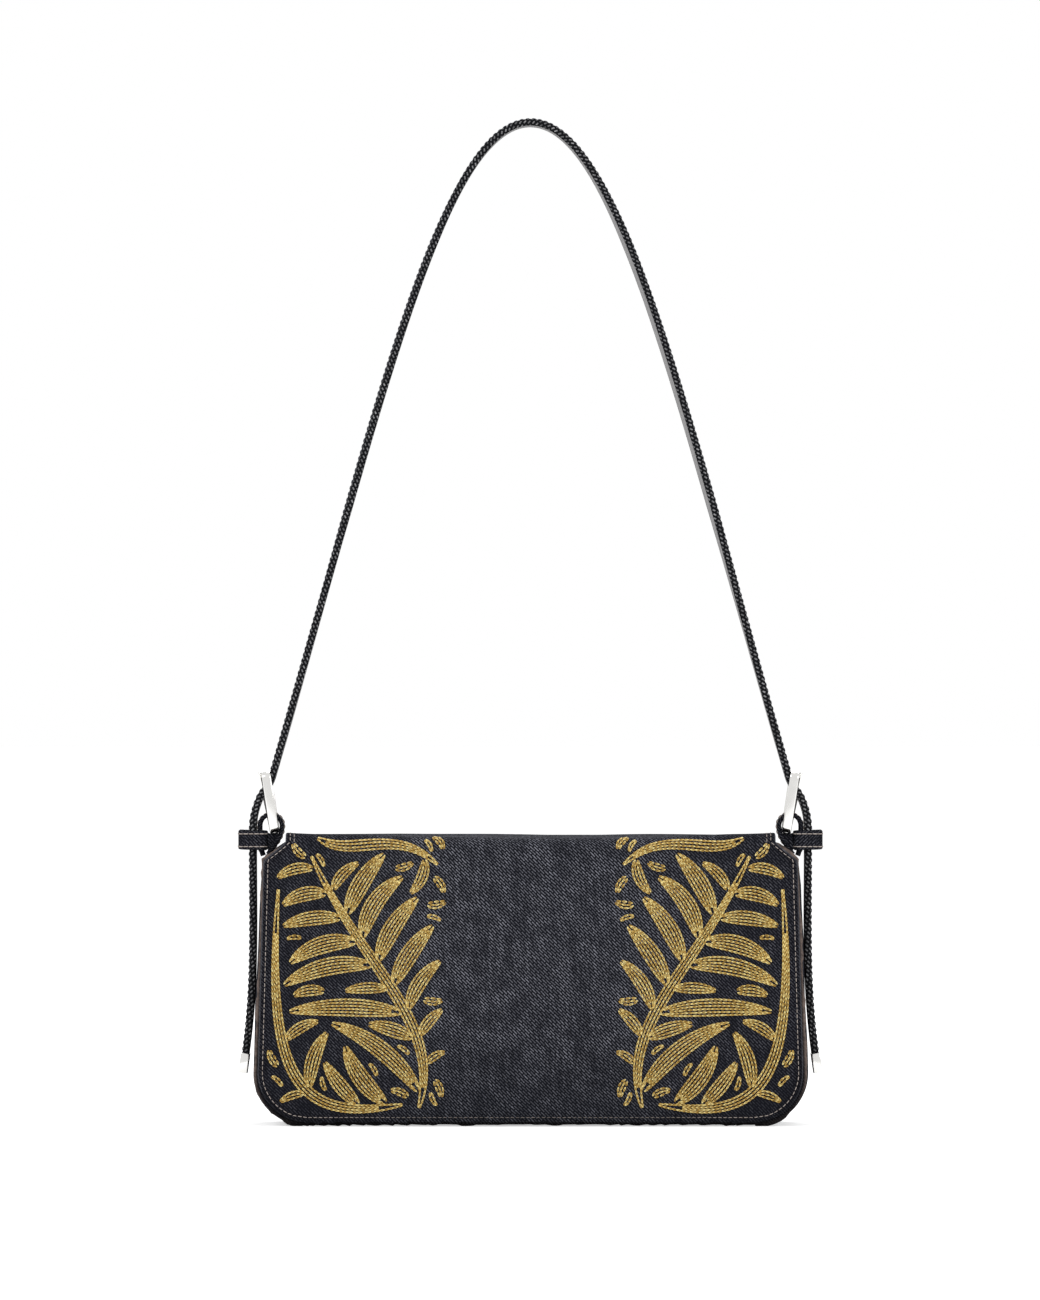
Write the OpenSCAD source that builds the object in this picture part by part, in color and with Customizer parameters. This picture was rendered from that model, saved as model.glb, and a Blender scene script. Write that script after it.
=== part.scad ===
// Flap shoulder bag in denim, with a buckled strap. It stands on its base with its flap closed
// and its strap up. X runs across the bag, the flap hangs on the -Y side and Z points up.

/* [Bag body] */
// Width across the side gussets near the base
bag_w = 268; // [220:1:330]
// How much narrower the bag is at its mouth
side_taper = 9; // [2:0.5:16]
// Height of the bag to the top of its closed flap
bag_h = 140; // [115:1:175]
// Depth of the bag at its base, flap included
bag_d = 61; // [48:0.5:80]
// How much shallower the bag is at its top
depth_taper = 10; // [2:0.5:14]
// Radius of the lower corners
corner_r = 24; // [15:0.5:32]
// How far the side gussets stop below the mouth
gusset_drop = 7; // [4:0.5:12]
// Thickness of denim with its interlining
shell_t = 2.2; // [1.6:0.1:2.8]
// Thickness of the lining cloth
lining_t = 0.8; // [0.5:0.1:1.2]
// Thickness of the stiffening board in the base
board_t = 1.6; // [1.2:0.1:2.4]
// Space between the board and the lining over it
board_gap = 0.2; // [0.1:0.05:0.3]
// Height of the denim facing inside the mouth
facing_h = 22; // [12:1:34]
// Thickness of the denim facing
facing_t = 1.2; // [0.8:0.1:1.6]
// Space left between sewn layers
sew_gap = 0.3; // [0.2:0.05:0.4]

/* [Inner pocket] */
// Width of the slip pocket
pocket_w = 150; // [90:1:200]
// Height of the slip pocket
pocket_h = 78; // [50:1:95]
// Height of the pocket's foot above the base
pocket_foot = 30; // [20:1:40]

/* [Flap] */
// How far the flap's neck is cut in from the mouth's side, to pass the tabs
neck_in = 10.9; // [9:0.1:14]
// How far the flap's sides lie inside the gussets at the foot
flap_in = 2; // [0:0.5:5]
// Height of the slanting shoulder between neck and side
shoulder_h = 8.5; // [6:0.5:14]
// How far the neck's straight edge runs down from the top
neck_h = 3.5; // [3:0.5:6]
// Thickness of the flap's denim with its interlining
flap_t = 1.8; // [1.4:0.1:2.4]
// Space between flap and front panel, filled by the snap
flap_gap = 3; // [2.8:0.1:4]
// Height of the flap's lower edge above the base
flap_foot = 1.5; // [1:0.5:6]
// Space between the top panel's edges and the folds beside them
fold_gap = 0.3; // [0.2:0.05:0.5]
// Space between the front panel's rim and the flap above it
rim_gap = 1; // [0.6:0.1:1.4]
// How far the flap's sides lie inside the gussets at the top
flap_top_in = 0.5; // [0:0.1:1]

/* [Magnetic snap] */
// Diameter of the snap
snap_d = 18; // [14:0.5:20]
// Height of the snap above the base
snap_z = 46; // [34:1:70]
// Thickness of the socket half
socket_t = 1.7; // [1.5:0.1:1.8]
// Thickness of the stud half's plate
stud_t = 1; // [0.8:0.1:1]
// Diameter of the stud's boss
boss_d = 5; // [4:0.5:6]
// Space around the boss in its socket
boss_gap = 1; // [0.8:0.1:1.2]
// Thickness of the washers behind the cloth
washer_t = 0.6; // [0.4:0.1:0.8]
// Diameter of the shanks that pass through the cloth
shank_d = 3; // [2:0.5:4]
// How far the snap's rim stands out beyond the washer behind it
washer_in = 2; // [1:0.5:3]
// Space around the washers and shanks where cloth is cut for them
snap_fit = 0.2; // [0.1:0.05:0.3]

/* [Strap] */
// Width of the strap
strap_w = 19; // [14:0.5:26]
// Thickness of the strap with its lining
strap_t = 3.3; // [2.6:0.1:3.8]
// Thickness of the strap's lining
strap_lining_t = 0.9; // [0.6:0.1:1.2]
// Width of the denim turned in beside the strap's lining
strap_edge = 1.2; // [0.8:0.1:2]
// Height of the strap's highest point
strap_top = 488; // [380:2:620]
// Lean of the strap's legs where they enter the buckles
leg_angle = 16.2; // [10:0.1:20]
// Reach of the curve's handle at the top of the strap
top_pull = 43.5; // [30:0.5:60]
// Reach of the curve's handle at the foot of a leg
leg_pull = 180; // [120:2:220]
// Diameter of the punched holes
hole_d = 3.2; // [2.6:0.1:4]
// Distance between punched holes
hole_pitch = 18; // [14:1:24]
// Number of spare holes above and below each buckle
spare_holes = 2; // [1:1:3]

/* [Strap tails] */
// How far outside the gusset's widest place a tail ends
tail_out = 4.4; // [3.4:0.1:8]
// Height of the joint between tail and metal tip
tip_z = 34; // [28:1:60]
// Height of the metal tip
tip_h = 9.7; // [7:0.1:14]
// Lean of the metal tip
tip_lean = 8; // [0:1:12]
// Wall of the metal tip
tip_wall = 0.5; // [0.4:0.05:0.8]
// Space between strap and metal tip
tip_gap = 0.1; // [0.05:0.05:0.15]
// Reach of the curve's handles along a tail
tail_pull = 34; // [24:1:38]

/* [Buckles] */
// Length of the buckle frame
buckle_l = 30; // [26:0.5:36]
// Thickness of the buckle frame, seen from its edge
buckle_t = 4.4; // [3.6:0.1:5]
// Width of the frame's side bars
cheek_w = 3; // [2.4:0.1:4]
// Space between strap and side bars
cheek_gap = 0.7; // [0.5:0.1:1.2]
// Diameter of the front bar and the heel bar
bar_d = 3; // [2.6:0.1:3.4]
// How far the front bar stands outward of the frame's middle
bar_out = 0.6; // [0.4:0.1:0.8]
// Lean of the buckle, top outward
buckle_lean = 8.3; // [4:0.1:10]
// How far towards the bag the heel bar lies from the middle of the tab's loop
heel_in = 1.72; // [1.2:0.01:2.2]
// How far the heel bar lies below the middle of the tab's loop
heel_down = 1.76; // [1.2:0.01:2.2]
// Radius of the frame's corners, seen from the front bar's side
buckle_corner = 3; // [2:0.1:5]
// Radius of the side bars' ends, seen from their edge
buckle_edge = 1; // [0.6:0.1:1.6]
// How far the front and heel bars stand in from the frame's ends
bar_in = 0.2; // [0:0.1:0.6]
// Diameter of the prong
prong_d = 2.2; // [1.8:0.1:2.6]
// Running space of the prong on the heel bar
prong_gap = 0.1; // [0.05:0.01:0.1]
// Wall of the prong's eye
eye_wall = 0.9; // [0.7:0.1:1.1]
// Width of the prong's eye along the heel bar
eye_w = 2.8; // [2.4:0.1:3.2]
// Outward distance from frame middle to where the strap has crossed it
cross_out = 5.2; // [4.8:0.1:6]
// Height along the frame of that place
cross_up = 2.2; // [1:0.1:3]
// How much steeper than its leg the strap crosses the frame
cross_turn = 6; // [2:0.5:10]
// Reach of the curve's handles where the strap crosses the frame
cross_pull = 4.5; // [3:0.1:6]
// Reach of the curve's handles where the strap turns down
turn_pull = 5; // [4:0.1:7]

/* [Tabs and keepers] */
// How far the tabs stand in from the mouth's side
tab_in = 3.3; // [3:0.1:3.8]
// Height of the tab loop's middle above the top of the bag
tab_up = 4.4; // [4:0.1:5]
// Thickness of the tab's denim
tab_t = 2.1; // [1.8:0.1:2.3]
// Inner radius of the tab's loop
tab_r = 4.35; // [4.2:0.05:5]
// Length of the tab's tongue behind the gusset
tongue_l = 9; // [5:1:14]
// Thickness of that tongue
tongue_t = 1.2; // [0.8:0.1:1.2]
// Space between the tab's filling and the prong's eye above it
fill_gap = 0.9; // [0.5:0.1:3]
// Width of the slot that the prong passes through
slot_w = 3.8; // [3:0.1:4.6]
// Space between the strap and the tab or keeper beside it
pass_gap = 0.6; // [0.4:0.1:0.8]
// How far a keeper's foot lies below the top of the bag
keeper_drop = 7.1; // [6.5:0.1:8]
// Height of a keeper
keeper_h = 9.2; // [7:0.1:12]
// Wall of a keeper
keeper_t = 1.4; // [1.2:0.1:1.8]
// How far the keeper's outer end stands from the tail
keeper_room = 4; // [2:0.5:6]
// How far the keeper's inner end reaches inside the tab's outer leg
keeper_in = 1.2; // [0.8:0.1:1.6]
// Outer radius of a keeper's corners
keeper_corner = 2.4; // [1.9:0.1:3]

/* [Hidden] */

denim = "#2e3038";
lining_cloth = "#22232a";
strap_cloth = "#8e8f92";
silver = "#d5d6d8";
steel = "#9a9b9e";
board = "#3a3634";

arc_steps = 20;
curve_steps = 36;
$fn = 48;

flap_all_t = flap_t + lining_t;
top_z = bag_h - flap_all_t;
rim_z = top_z - rim_gap;
gusset_z = rim_z - gusset_drop;
body_d = bag_d - flap_gap - flap_all_t;
body_y = (bag_d - body_d) / 2;
mouth_w = bag_w - side_taper;
neck_x = mouth_w / 2 - neck_in;
lining_in = shell_t + board_t + board_gap;
layer_in = shell_t + sew_gap;
corner_x = bag_w / 2 - corner_r;
depth_angle = atan(depth_taper / 2 / bag_h);
reach = 2 * bag_w;
washer_d = snap_d - 2 * washer_in;
snap_gap = flap_gap * cos(depth_angle);
socket_floor = socket_t / 3;
window_w = strap_w + 2 * cheek_gap;
frame_w = window_w + 2 * cheek_w;
eye_d = bar_d + 2 * (prong_gap + eye_wall);

// Distance from the body's middle to its outer face at height z
function half_d(z) = body_d / 2 - depth_taper / 2 * z / bag_h;
function front_y(z) = body_y - half_d(z);
function back_y(z) = body_y + half_d(z);
function flap_y(z) = front_y(z) - flap_gap;

// Lean of a side that runs from the corner's arc up to half width w1 at the bag's top
function lean(w0, w1, foot) =
    let (a = w1 - w0 + corner_r, b = bag_h - foot - corner_r)
    atan2(b, a) - acos(corner_r / norm([a, b]));

// Right side of an upright outline from height top down to the middle of its foot
function side(w0, w1, foot, inset, top) =
    let (a = lean(w0, w1, foot), r = corner_r - inset,
        c = [w0 - corner_r, foot + corner_r], t = c + r * [cos(a), sin(a)])
    concat([t + [-sin(a), cos(a)] * (top - t.y) / cos(a)],
        [for (i = [0:arc_steps])
            let (q = a - (90 + a) * i / arc_steps) c + r * [cos(q), sin(q)]]);
function both(points) = concat(points,
    [for (i = [len(points) - 1:-1:0]) [-points[i].x, points[i].y]]);
function body_side(inset, top) = side(bag_w / 2, mouth_w / 2, 0, inset, top);

// Outline of front and back: the neck, slanting shoulders, leaning sides and round corners
function panel_outline(inset, top) =
    both(concat([[neck_x - inset, top]], body_side(inset, gusset_z)));
function flap_outline() = both(concat(
    [[neck_x, bag_h], [neck_x, bag_h - neck_h]],
    side(bag_w / 2 - flap_in, mouth_w / 2 - flap_top_in, flap_foot, 0,
        bag_h - neck_h - shoulder_h)));

// A point of a cubic curve, and the direction there
function curve(p, t) = pow(1 - t, 3) * p[0] + 3 * pow(1 - t, 2) * t * p[1]
    + 3 * (1 - t) * t * t * p[2] + pow(t, 3) * p[3];
function heading(p, t) = let (d = pow(1 - t, 2) * (p[1] - p[0])
    + 2 * (1 - t) * t * (p[2] - p[1]) + t * t * (p[3] - p[2])) d / norm(d);

// Points of a curve moved sideways by off, to the left of the way it runs
function beside(p, off, steps = curve_steps) = [for (i = [0:steps])
    let (t = i / steps, d = heading(p, t)) curve(p, t) + off * [-d.y, d.x]];
function reversed(list) = [for (i = [len(list) - 1:-1:0]) list[i]];
function mirrored(list) = [for (q = list) [-q.x, q.y]];

// Upright outline in XZ, drawn out along Y about the body's middle
module drawn(depth) {
    translate([0, body_y, 0]) rotate([90, 0, 0]) linear_extrude(depth, center = true)
        children();
}
// Side profile in YZ, drawn out along X
module across() {
    rotate([90, 0, 90]) linear_extrude(reach, center = true) children();
}
// Layer of the front between offsets a and b inward from its outer face
module front_layer(a, b) {
    across() polygon([[front_y(0) + a, 0], [front_y(0) + b, 0],
        [front_y(bag_h) + b, bag_h], [front_y(bag_h) + a, bag_h]]);
}
module back_layer(a, b) {
    across() polygon([[back_y(0) - a, 0], [back_y(0) - b, 0],
        [back_y(bag_h) - b, bag_h], [back_y(bag_h) - a, bag_h]]);
}
// Space between front and back, a inward from each
module between(a) {
    across() polygon([[front_y(0) + a, 0], [back_y(0) - a, 0],
        [back_y(bag_h) - a, bag_h], [front_y(bag_h) + a, bag_h]]);
}
// Band round the sides and base, from inset a to inset b
module band(a, b) {
    intersection() {
        drawn(bag_d * 2) difference() {
            polygon(both(body_side(a, gusset_z)));
            polygon(both(body_side(b, gusset_z + 1)));
        }
        children();
    }
}
// Keeps what lies outside the base's flat stretch on one side, or on the stretch itself
module side_part(sign) {
    intersection() {
        children();
        translate([sign * (corner_x + reach / 2), 0, 0]) cube([reach, reach, reach], center = true);
    }
}
module base_part() {
    intersection() {
        children();
        cube([2 * corner_x, reach, reach], center = true);
    }
}

module front_panel() {
    color(denim) difference() {
        intersection() {
            drawn(bag_d * 2) polygon(panel_outline(0, rim_z));
            front_layer(0, shell_t);
        }
        on_snap() translate([0, 0, -2 * shell_t]) cylinder(d = shank_d + snap_fit, h = 3 * shell_t);
        on_snap() translate([0, 0, -2 * shell_t])
            cylinder(d = washer_d + snap_fit, h = shell_t + washer_t);
    }
}
module back_panel() {
    color(denim) intersection() {
        drawn(bag_d * 2) polygon(panel_outline(0, top_z - fold_gap));
        back_layer(0, shell_t);
    }
}
module base_panel() {
    color(denim) base_part() band(0, shell_t) between(shell_t);
}
module gusset(sign) {
    color(denim) side_part(sign) band(0, shell_t) between(shell_t);
}
module base_board() {
    color(board) base_part() band(shell_t, shell_t + board_t) between(layer_in);
}
module lining_side(sign) {
    color(lining_cloth) side_part(sign)
        band(lining_in, lining_in + lining_t) between(layer_in + lining_t);
}
module lining_base() {
    color(lining_cloth) base_part()
        band(lining_in, lining_in + lining_t) between(layer_in + lining_t);
}
// Inner layers stop at the facing, which is narrower than the side linings' inner faces
module lining_front() {
    color(lining_cloth) intersection() {
        drawn(bag_d * 2) polygon(both(body_side(lining_in, rim_z - facing_h)));
        front_layer(layer_in, layer_in + lining_t);
    }
}
module lining_back() {
    color(lining_cloth) intersection() {
        drawn(bag_d * 2) polygon(both(body_side(lining_in, rim_z - facing_h)));
        back_layer(layer_in, layer_in + lining_t);
    }
}
module facing_shape() {
    drawn(bag_d * 2) intersection() {
        polygon(panel_outline(lining_in + lining_t + sew_gap, rim_z));
        translate([0, rim_z - facing_h / 2]) square([reach, facing_h], center = true);
    }
}
module facing_front() {
    color(denim) intersection() {
        facing_shape();
        front_layer(layer_in, layer_in + facing_t);
    }
}
module facing_back() {
    color(denim) intersection() {
        facing_shape();
        back_layer(layer_in, layer_in + facing_t);
    }
}
module slip_pocket() {
    pocket_layer = layer_in + lining_t + sew_gap;
    color(lining_cloth) intersection() {
        drawn(bag_d * 2) translate([-pocket_w / 2, pocket_foot]) square([pocket_w, pocket_h]);
        back_layer(pocket_layer, pocket_layer + lining_t);
    }
}

// Top panel of the flap, from the fold at the back to the fold at the front
module flap_sheet(z, t) {
    y0 = flap_y(bag_h) + fold_gap;
    translate([-neck_x, y0, z]) cube([2 * neck_x, back_y(bag_h) - y0, t]);
}
module flap_top() {
    color(denim) flap_sheet(top_z + lining_t, flap_t);
}
module flap_top_lining() {
    color(lining_cloth) flap_sheet(top_z, lining_t);
}
// Hanging front of the flap, between offsets a and b outward from its inner face
module flap_layer(a, b) {
    intersection() {
        drawn(bag_d * 3) polygon(flap_outline());
        front_layer(-flap_gap - b, -flap_gap - a);
    }
}
module flap_front() {
    color(denim) difference() {
        flap_layer(lining_t, flap_all_t);
        on_snap() translate([0, 0, flap_gap])
            cylinder(d = washer_d + snap_fit, h = lining_t + washer_t);
    }
}
module flap_front_lining() {
    color(lining_cloth) difference() {
        flap_layer(0, lining_t);
        on_snap() cylinder(d = shank_d + snap_fit, h = flap_gap + 2 * lining_t);
    }
}

// Magnetic snap, drawn from the front panel's outer face outward
module on_snap() {
    translate([0, front_y(snap_z), snap_z]) rotate([90 - depth_angle, 0, 0]) children();
}
module snap_socket() {
    color(silver) on_snap() {
        difference() {
            cylinder(d = snap_d, h = socket_t);
            translate([0, 0, socket_floor]) cylinder(d = boss_d + 2 * boss_gap, h = socket_t);
        }
        translate([0, 0, -shell_t]) cylinder(d = shank_d, h = shell_t);
    }
}
module snap_stud() {
    plate_z = snap_gap - stud_t;
    color(silver) on_snap() {
        translate([0, 0, plate_z]) cylinder(d = snap_d, h = stud_t);
        translate([0, 0, socket_floor + snap_fit])
            cylinder(d = boss_d, h = plate_z - socket_floor);
        translate([0, 0, plate_z]) cylinder(d = shank_d, h = stud_t + lining_t + washer_t);
    }
}
module washer(z) {
    color(steel) on_snap() translate([0, 0, z]) difference() {
        cylinder(d = washer_d, h = washer_t);
        translate([0, 0, -washer_t]) cylinder(d = shank_d + 0.1, h = 3 * washer_t);
    }
}
module snap_socket_washer() {
    washer(-shell_t);
}
module snap_stud_washer() {
    washer(snap_gap + lining_t);
}

// Buckle places, on the right-hand side: out is away from the bag, up is along the frame
tab_x = mouth_w / 2 - tab_in;
tab_z = bag_h + tab_up;
bar_up = (buckle_l - bar_d) / 2 - bar_in;
frame_out = [cos(buckle_lean), -sin(buckle_lean)];
frame_up = [sin(buckle_lean), cos(buckle_lean)];
buckle_at = [tab_x - heel_in, tab_z - heel_down] + bar_up * frame_up;
function on_frame(out, up) = buckle_at + out * frame_out + up * frame_up;

// Pieces of one side are modelled on the right, and mirrored for the left
module placed(sign) {
    if (sign > 0) children();
    else mirror([1, 0, 0]) children();
}
module on_buckle() {
    translate([buckle_at.x, body_y, buckle_at.y]) rotate([0, buckle_lean, 0]) children();
}
module rounded(w, h, r) {
    square([w - 2 * r, h], center = true);
    square([w, h - 2 * r], center = true);
    for (x = [-1, 1], y = [-1, 1])
        translate([x * (w / 2 - r), y * (h / 2 - r)]) circle(r);
}
module bar(out, up) {
    translate([out, 0, up]) rotate([90, 0, 0])
        cylinder(d = bar_d, h = window_w + cheek_w, center = true);
}

module buckle(sign) {
    color(silver) placed(sign) on_buckle() {
        intersection() {
            rotate([90, 0, 90]) linear_extrude(buckle_t, center = true) difference() {
                rounded(frame_w, buckle_l, buckle_corner);
                square([window_w, buckle_l * 2], center = true);
            }
            rotate([90, 0, 0]) linear_extrude(frame_w, center = true)
                rounded(buckle_t, buckle_l, buckle_edge);
        }
        bar(bar_out, bar_up);
        bar(0, -bar_up);
    }
}

// Prong: an eye on the heel bar and a shank that rests on the front bar's outer side
shank_from = [eye_d / 2 - prong_d / 2, -bar_up];
shank_to = [bar_out + bar_d / 2 + prong_gap + prong_d / 2, bar_up + prong_d / 2];
prong_angle = atan2(shank_to.x - shank_from.x, shank_to.y - shank_from.y);
prong_l = norm(shank_to - shank_from);
module on_shank() {
    on_buckle() translate([shank_from.x, 0, shank_from.y]) rotate([0, prong_angle, 0])
        children();
}
module prong(sign) {
    color(silver) placed(sign) difference() {
        union() {
            on_shank() cylinder(d = prong_d, h = prong_l);
            on_shank() translate([0, 0, prong_l]) sphere(d = prong_d);
            on_buckle() translate([0, 0, -bar_up]) rotate([90, 0, 0])
                cylinder(d = eye_d, h = eye_w, center = true);
        }
        on_buckle() translate([0, 0, -bar_up]) rotate([90, 0, 0])
            cylinder(d = bar_d + 2 * prong_gap, h = window_w, center = true);
    }
}

// Strap route, on the right: from the top to the front bar, out through the frame, down
// through the keeper, and on as a hanging tail
strap_half = strap_t / 2;
bar_side = on_frame(bar_out, bar_up)
    - (bar_d / 2 + sew_gap + strap_half) * [cos(leg_angle), sin(leg_angle)];
crossed = on_frame(cross_out, cross_up);
loop_r = tab_r + tab_t / 2;
tail_x = tab_x + loop_r + tab_t / 2 + pass_gap + strap_half;
keeper_z = bag_h - keeper_drop;
tail_z = keeper_z - pass_gap;
tail_foot = [bag_w / 2 + tail_out, tip_z];
leg_way = [sin(leg_angle), -cos(leg_angle)];
cross_way = [sin(leg_angle + cross_turn), -cos(leg_angle + cross_turn)];
tip_way = [sin(tip_lean), -cos(tip_lean)];
arch = [[0, strap_top - strap_half], [top_pull, strap_top - strap_half],
    bar_side - leg_pull * leg_way, bar_side];
crossing = [bar_side, bar_side + cross_pull * leg_way, crossed - cross_pull * cross_way,
    crossed];
hang_z = keeper_z + keeper_h + pass_gap;
turn = [crossed, crossed + turn_pull * cross_way, [tail_x, hang_z + turn_pull],
    [tail_x, hang_z]];
fall = [[tail_x, tail_z], [tail_x, tail_z - tail_pull], tail_foot - tail_pull * tip_way,
    tail_foot];

// Band of the whole arch, between offsets a and b outward from its middle line
module arch_band(a, b, w) {
    right = beside(arch, a);
    outer = beside(arch, b);
    drawn(w) polygon(concat(mirrored(reversed(right)), right, reversed(outer), mirrored(outer)));
}
// A spare hole, square to the strap at place p where it leans by angle
module hole(p, angle) {
    translate([p.x, body_y, p.y]) rotate([0, 90 - angle, 0])
        cylinder(d = hole_d, h = 4 * strap_t, center = true);
}
module arch_holes() {
    for (sign = [-1, 1], i = [1:spare_holes])
        placed(sign) hole(bar_side - (i * hole_pitch) * leg_way, leg_angle);
}
module strap() {
    color(denim) difference() {
        arch_band(-strap_half, strap_half, strap_w);
        arch_band(-strap_half - 1, strap_lining_t - strap_half, strap_w - 2 * strap_edge);
        arch_holes();
    }
}
module strap_lining() {
    color(strap_cloth) difference() {
        arch_band(-strap_half, strap_lining_t - strap_half, strap_w - 2 * strap_edge);
        arch_holes();
    }
}
// Outline of the strap between offsets a and b, through the frame and the keeper
function end_line(off) = concat(beside(crossing, off, 10), beside(turn, off, 10),
    [[tail_x + off, tail_z + sew_gap]]);
module end_band(a, b, w) {
    difference() {
        drawn(w) polygon(concat(end_line(a), reversed(end_line(b))));
        on_shank() cylinder(d = hole_d, h = prong_l + 2);
    }
}
module strap_end(sign) {
    color(denim) placed(sign) difference() {
        end_band(-strap_half, strap_half, strap_w);
        end_band(-strap_half - 1, strap_lining_t - strap_half, strap_w - 2 * strap_edge);
    }
}
module strap_end_lining(sign) {
    color(strap_cloth) placed(sign)
        end_band(-strap_half, strap_lining_t - strap_half, strap_w - 2 * strap_edge);
}
// Outline of a hanging tail between two offsets, down into its metal tip
tucked = tip_h - 2 * tip_wall;
function tail_line(off) = concat(beside(fall, off),
    [tail_foot + tucked * tip_way + off * [cos(tip_lean), sin(tip_lean)]]);
module tail_band(a, b, w) {
    difference() {
        drawn(w) polygon(concat(tail_line(a), reversed(tail_line(b))));
        for (i = [1:spare_holes]) hole([tail_x, tail_z - i * hole_pitch], 0);
    }
}
module tail(sign) {
    color(denim) placed(sign) difference() {
        tail_band(-strap_half, strap_half, strap_w);
        tail_band(-strap_half - 1, strap_lining_t - strap_half, strap_w - 2 * strap_edge);
    }
}
module tail_lining(sign) {
    color(strap_cloth) placed(sign)
        tail_band(-strap_half, strap_lining_t - strap_half, strap_w - 2 * strap_edge);
}
// Folded metal tip, open at the top, closed over the tail's end
module tip(sign) {
    tip_t = strap_t + 2 * (tip_wall + tip_gap);
    color(silver) placed(sign)
        translate([tail_foot.x, body_y, tail_foot.y]) rotate([0, -tip_lean, 0]) difference() {
            translate([0, 0, -tip_h / 2]) rotate([90, 0, 0])
                linear_extrude(strap_w + 2 * (tip_wall + tip_gap), center = true)
                    rounded(tip_t, tip_h, tip_wall);
            translate([0, 0, 1]) cube([strap_t + 2 * tip_gap, strap_w + 2 * tip_gap,
                2 * (tip_h - tip_wall + 0.5)], center = true);
        }
}

// Tab: a loop round the heel bar, whose legs meet on the gusset with a tongue behind it. The
// legs' curves leave the foot by inner_reach and outer_reach and the loop by loop_reach.
// Under the heel bar the loop is filled with turned-in denim, up to the keeper's inner end.
gusset_x = body_side(0, gusset_z)[0].x;
tab_foot = [gusset_x - shell_t / 2, gusset_z + sew_gap];
leg_off = tab_t / 2 + sew_gap / 2;
leg_join = 1;
inner_reach = [-2.6, 4];
outer_reach = [1.4, 3];
loop_reach = [6, 7];
inner_foot = tab_foot + [-leg_off, leg_join];
outer_foot = tab_foot + [leg_off, leg_join];
inner_leg = [inner_foot, inner_foot + inner_reach,
    [tab_x - loop_r, tab_z - loop_reach[0]], [tab_x - loop_r, tab_z]];
outer_leg = [[tab_x + loop_r, tab_z], [tab_x + loop_r, tab_z - loop_reach[1]],
    outer_foot + outer_reach, outer_foot];
keeper_x0 = tab_x + tab_r - keeper_in - keeper_t;
function loop_arc(r) = [for (i = [1:arc_steps - 1])
    let (q = 180 - 180 * i / arc_steps) [tab_x, tab_z] + r * [cos(q), sin(q)]];
function loop_line(off) = concat(beside(inner_leg, off, 12), loop_arc(loop_r + off),
    beside(outer_leg, off, 12));
fill_x = keeper_x0 - sew_gap;
fill_z = tab_z - heel_down - eye_d / 2 - fill_gap;
filled_leg = [for (p = beside(inner_leg, 0, 24)) if (p.x < fill_x && p.y < fill_z) p];
module tab(sign) {
    half = leg_off + tab_t / 2;
    tongue_x = -shell_t / 2 - sew_gap;
    lean_x = tongue_l * tan(lean(bag_w / 2, mouth_w / 2, 0));
    color(denim) placed(sign) difference() {
        drawn(strap_w) {
            polygon(concat(loop_line(tab_t / 2), reversed(loop_line(-tab_t / 2))));
            polygon(concat(filled_leg, [[fill_x, filled_leg[len(filled_leg) - 1].y],
                [fill_x, filled_leg[0].y]]));
            translate([tab_foot.x, tab_foot.y]) polygon([[tongue_x - tongue_t, 0],
                [-half, leg_join + 0.4], [half, leg_join + 0.4], [half, 0], [tongue_x, 0],
                [tongue_x + lean_x, -tongue_l], [tongue_x + lean_x - tongue_t, -tongue_l]]);
        }
        translate([tab_x, body_y, tab_z + 4])
            cube([4 * loop_r, slot_w, 2 * loop_r + 8], center = true);
    }
}

// Keeper: a band round the tab's outer leg and the strap
module keeper(sign) {
    x0 = keeper_x0;
    x1 = tail_x + strap_half + keeper_room + keeper_t;
    inner_w = strap_w + 2 * pass_gap;
    color(denim) placed(sign) translate([(x0 + x1) / 2, body_y, keeper_z])
        linear_extrude(keeper_h) difference() {
            rounded(x1 - x0, inner_w + 2 * keeper_t, keeper_corner);
            rounded(x1 - x0 - 2 * keeper_t, inner_w, keeper_corner - keeper_t);
        }
}

front_panel();
back_panel();
base_panel();
gusset(-1);  // gusset_left
gusset(1);  // gusset_right
base_board();
lining_front();
lining_back();
lining_base();
lining_side(-1);  // lining_left
lining_side(1);  // lining_right
facing_front();
facing_back();
slip_pocket();
flap_top();
flap_top_lining();
flap_front();
flap_front_lining();
snap_socket();
snap_socket_washer();
snap_stud();
snap_stud_washer();
tab(-1);  // tab_left
tab(1);  // tab_right
buckle(-1);  // buckle_left
buckle(1);  // buckle_right
prong(-1);  // prong_left
prong(1);  // prong_right
keeper(-1);  // keeper_left
keeper(1);  // keeper_right
strap();
strap_lining();
strap_end(-1);  // strap_end_left
strap_end(1);  // strap_end_right
strap_end_lining(-1);  // strap_end_lining_left
strap_end_lining(1);  // strap_end_lining_right
tail(-1);  // tail_left
tail(1);  // tail_right
tail_lining(-1);  // tail_lining_left
tail_lining(1);  // tail_lining_right
tip(-1);  // tip_left
tip(1);  // tip_right
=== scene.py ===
# %% [markdown]
# # A small denim shoulder bag
# The imported CAD model is the fixed frame: its bodies move, and some pieces made here ride on
# one of them. Bag, flap, linings and strap are cloth, so plain CAD solids
# stand in for them only until this script puts sewn pieces in the same places.

# %% Load the frame
import itertools
import math

import bmesh
import bpy
import numpy as np
from mathutils import Matrix, Vector, noise


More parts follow.
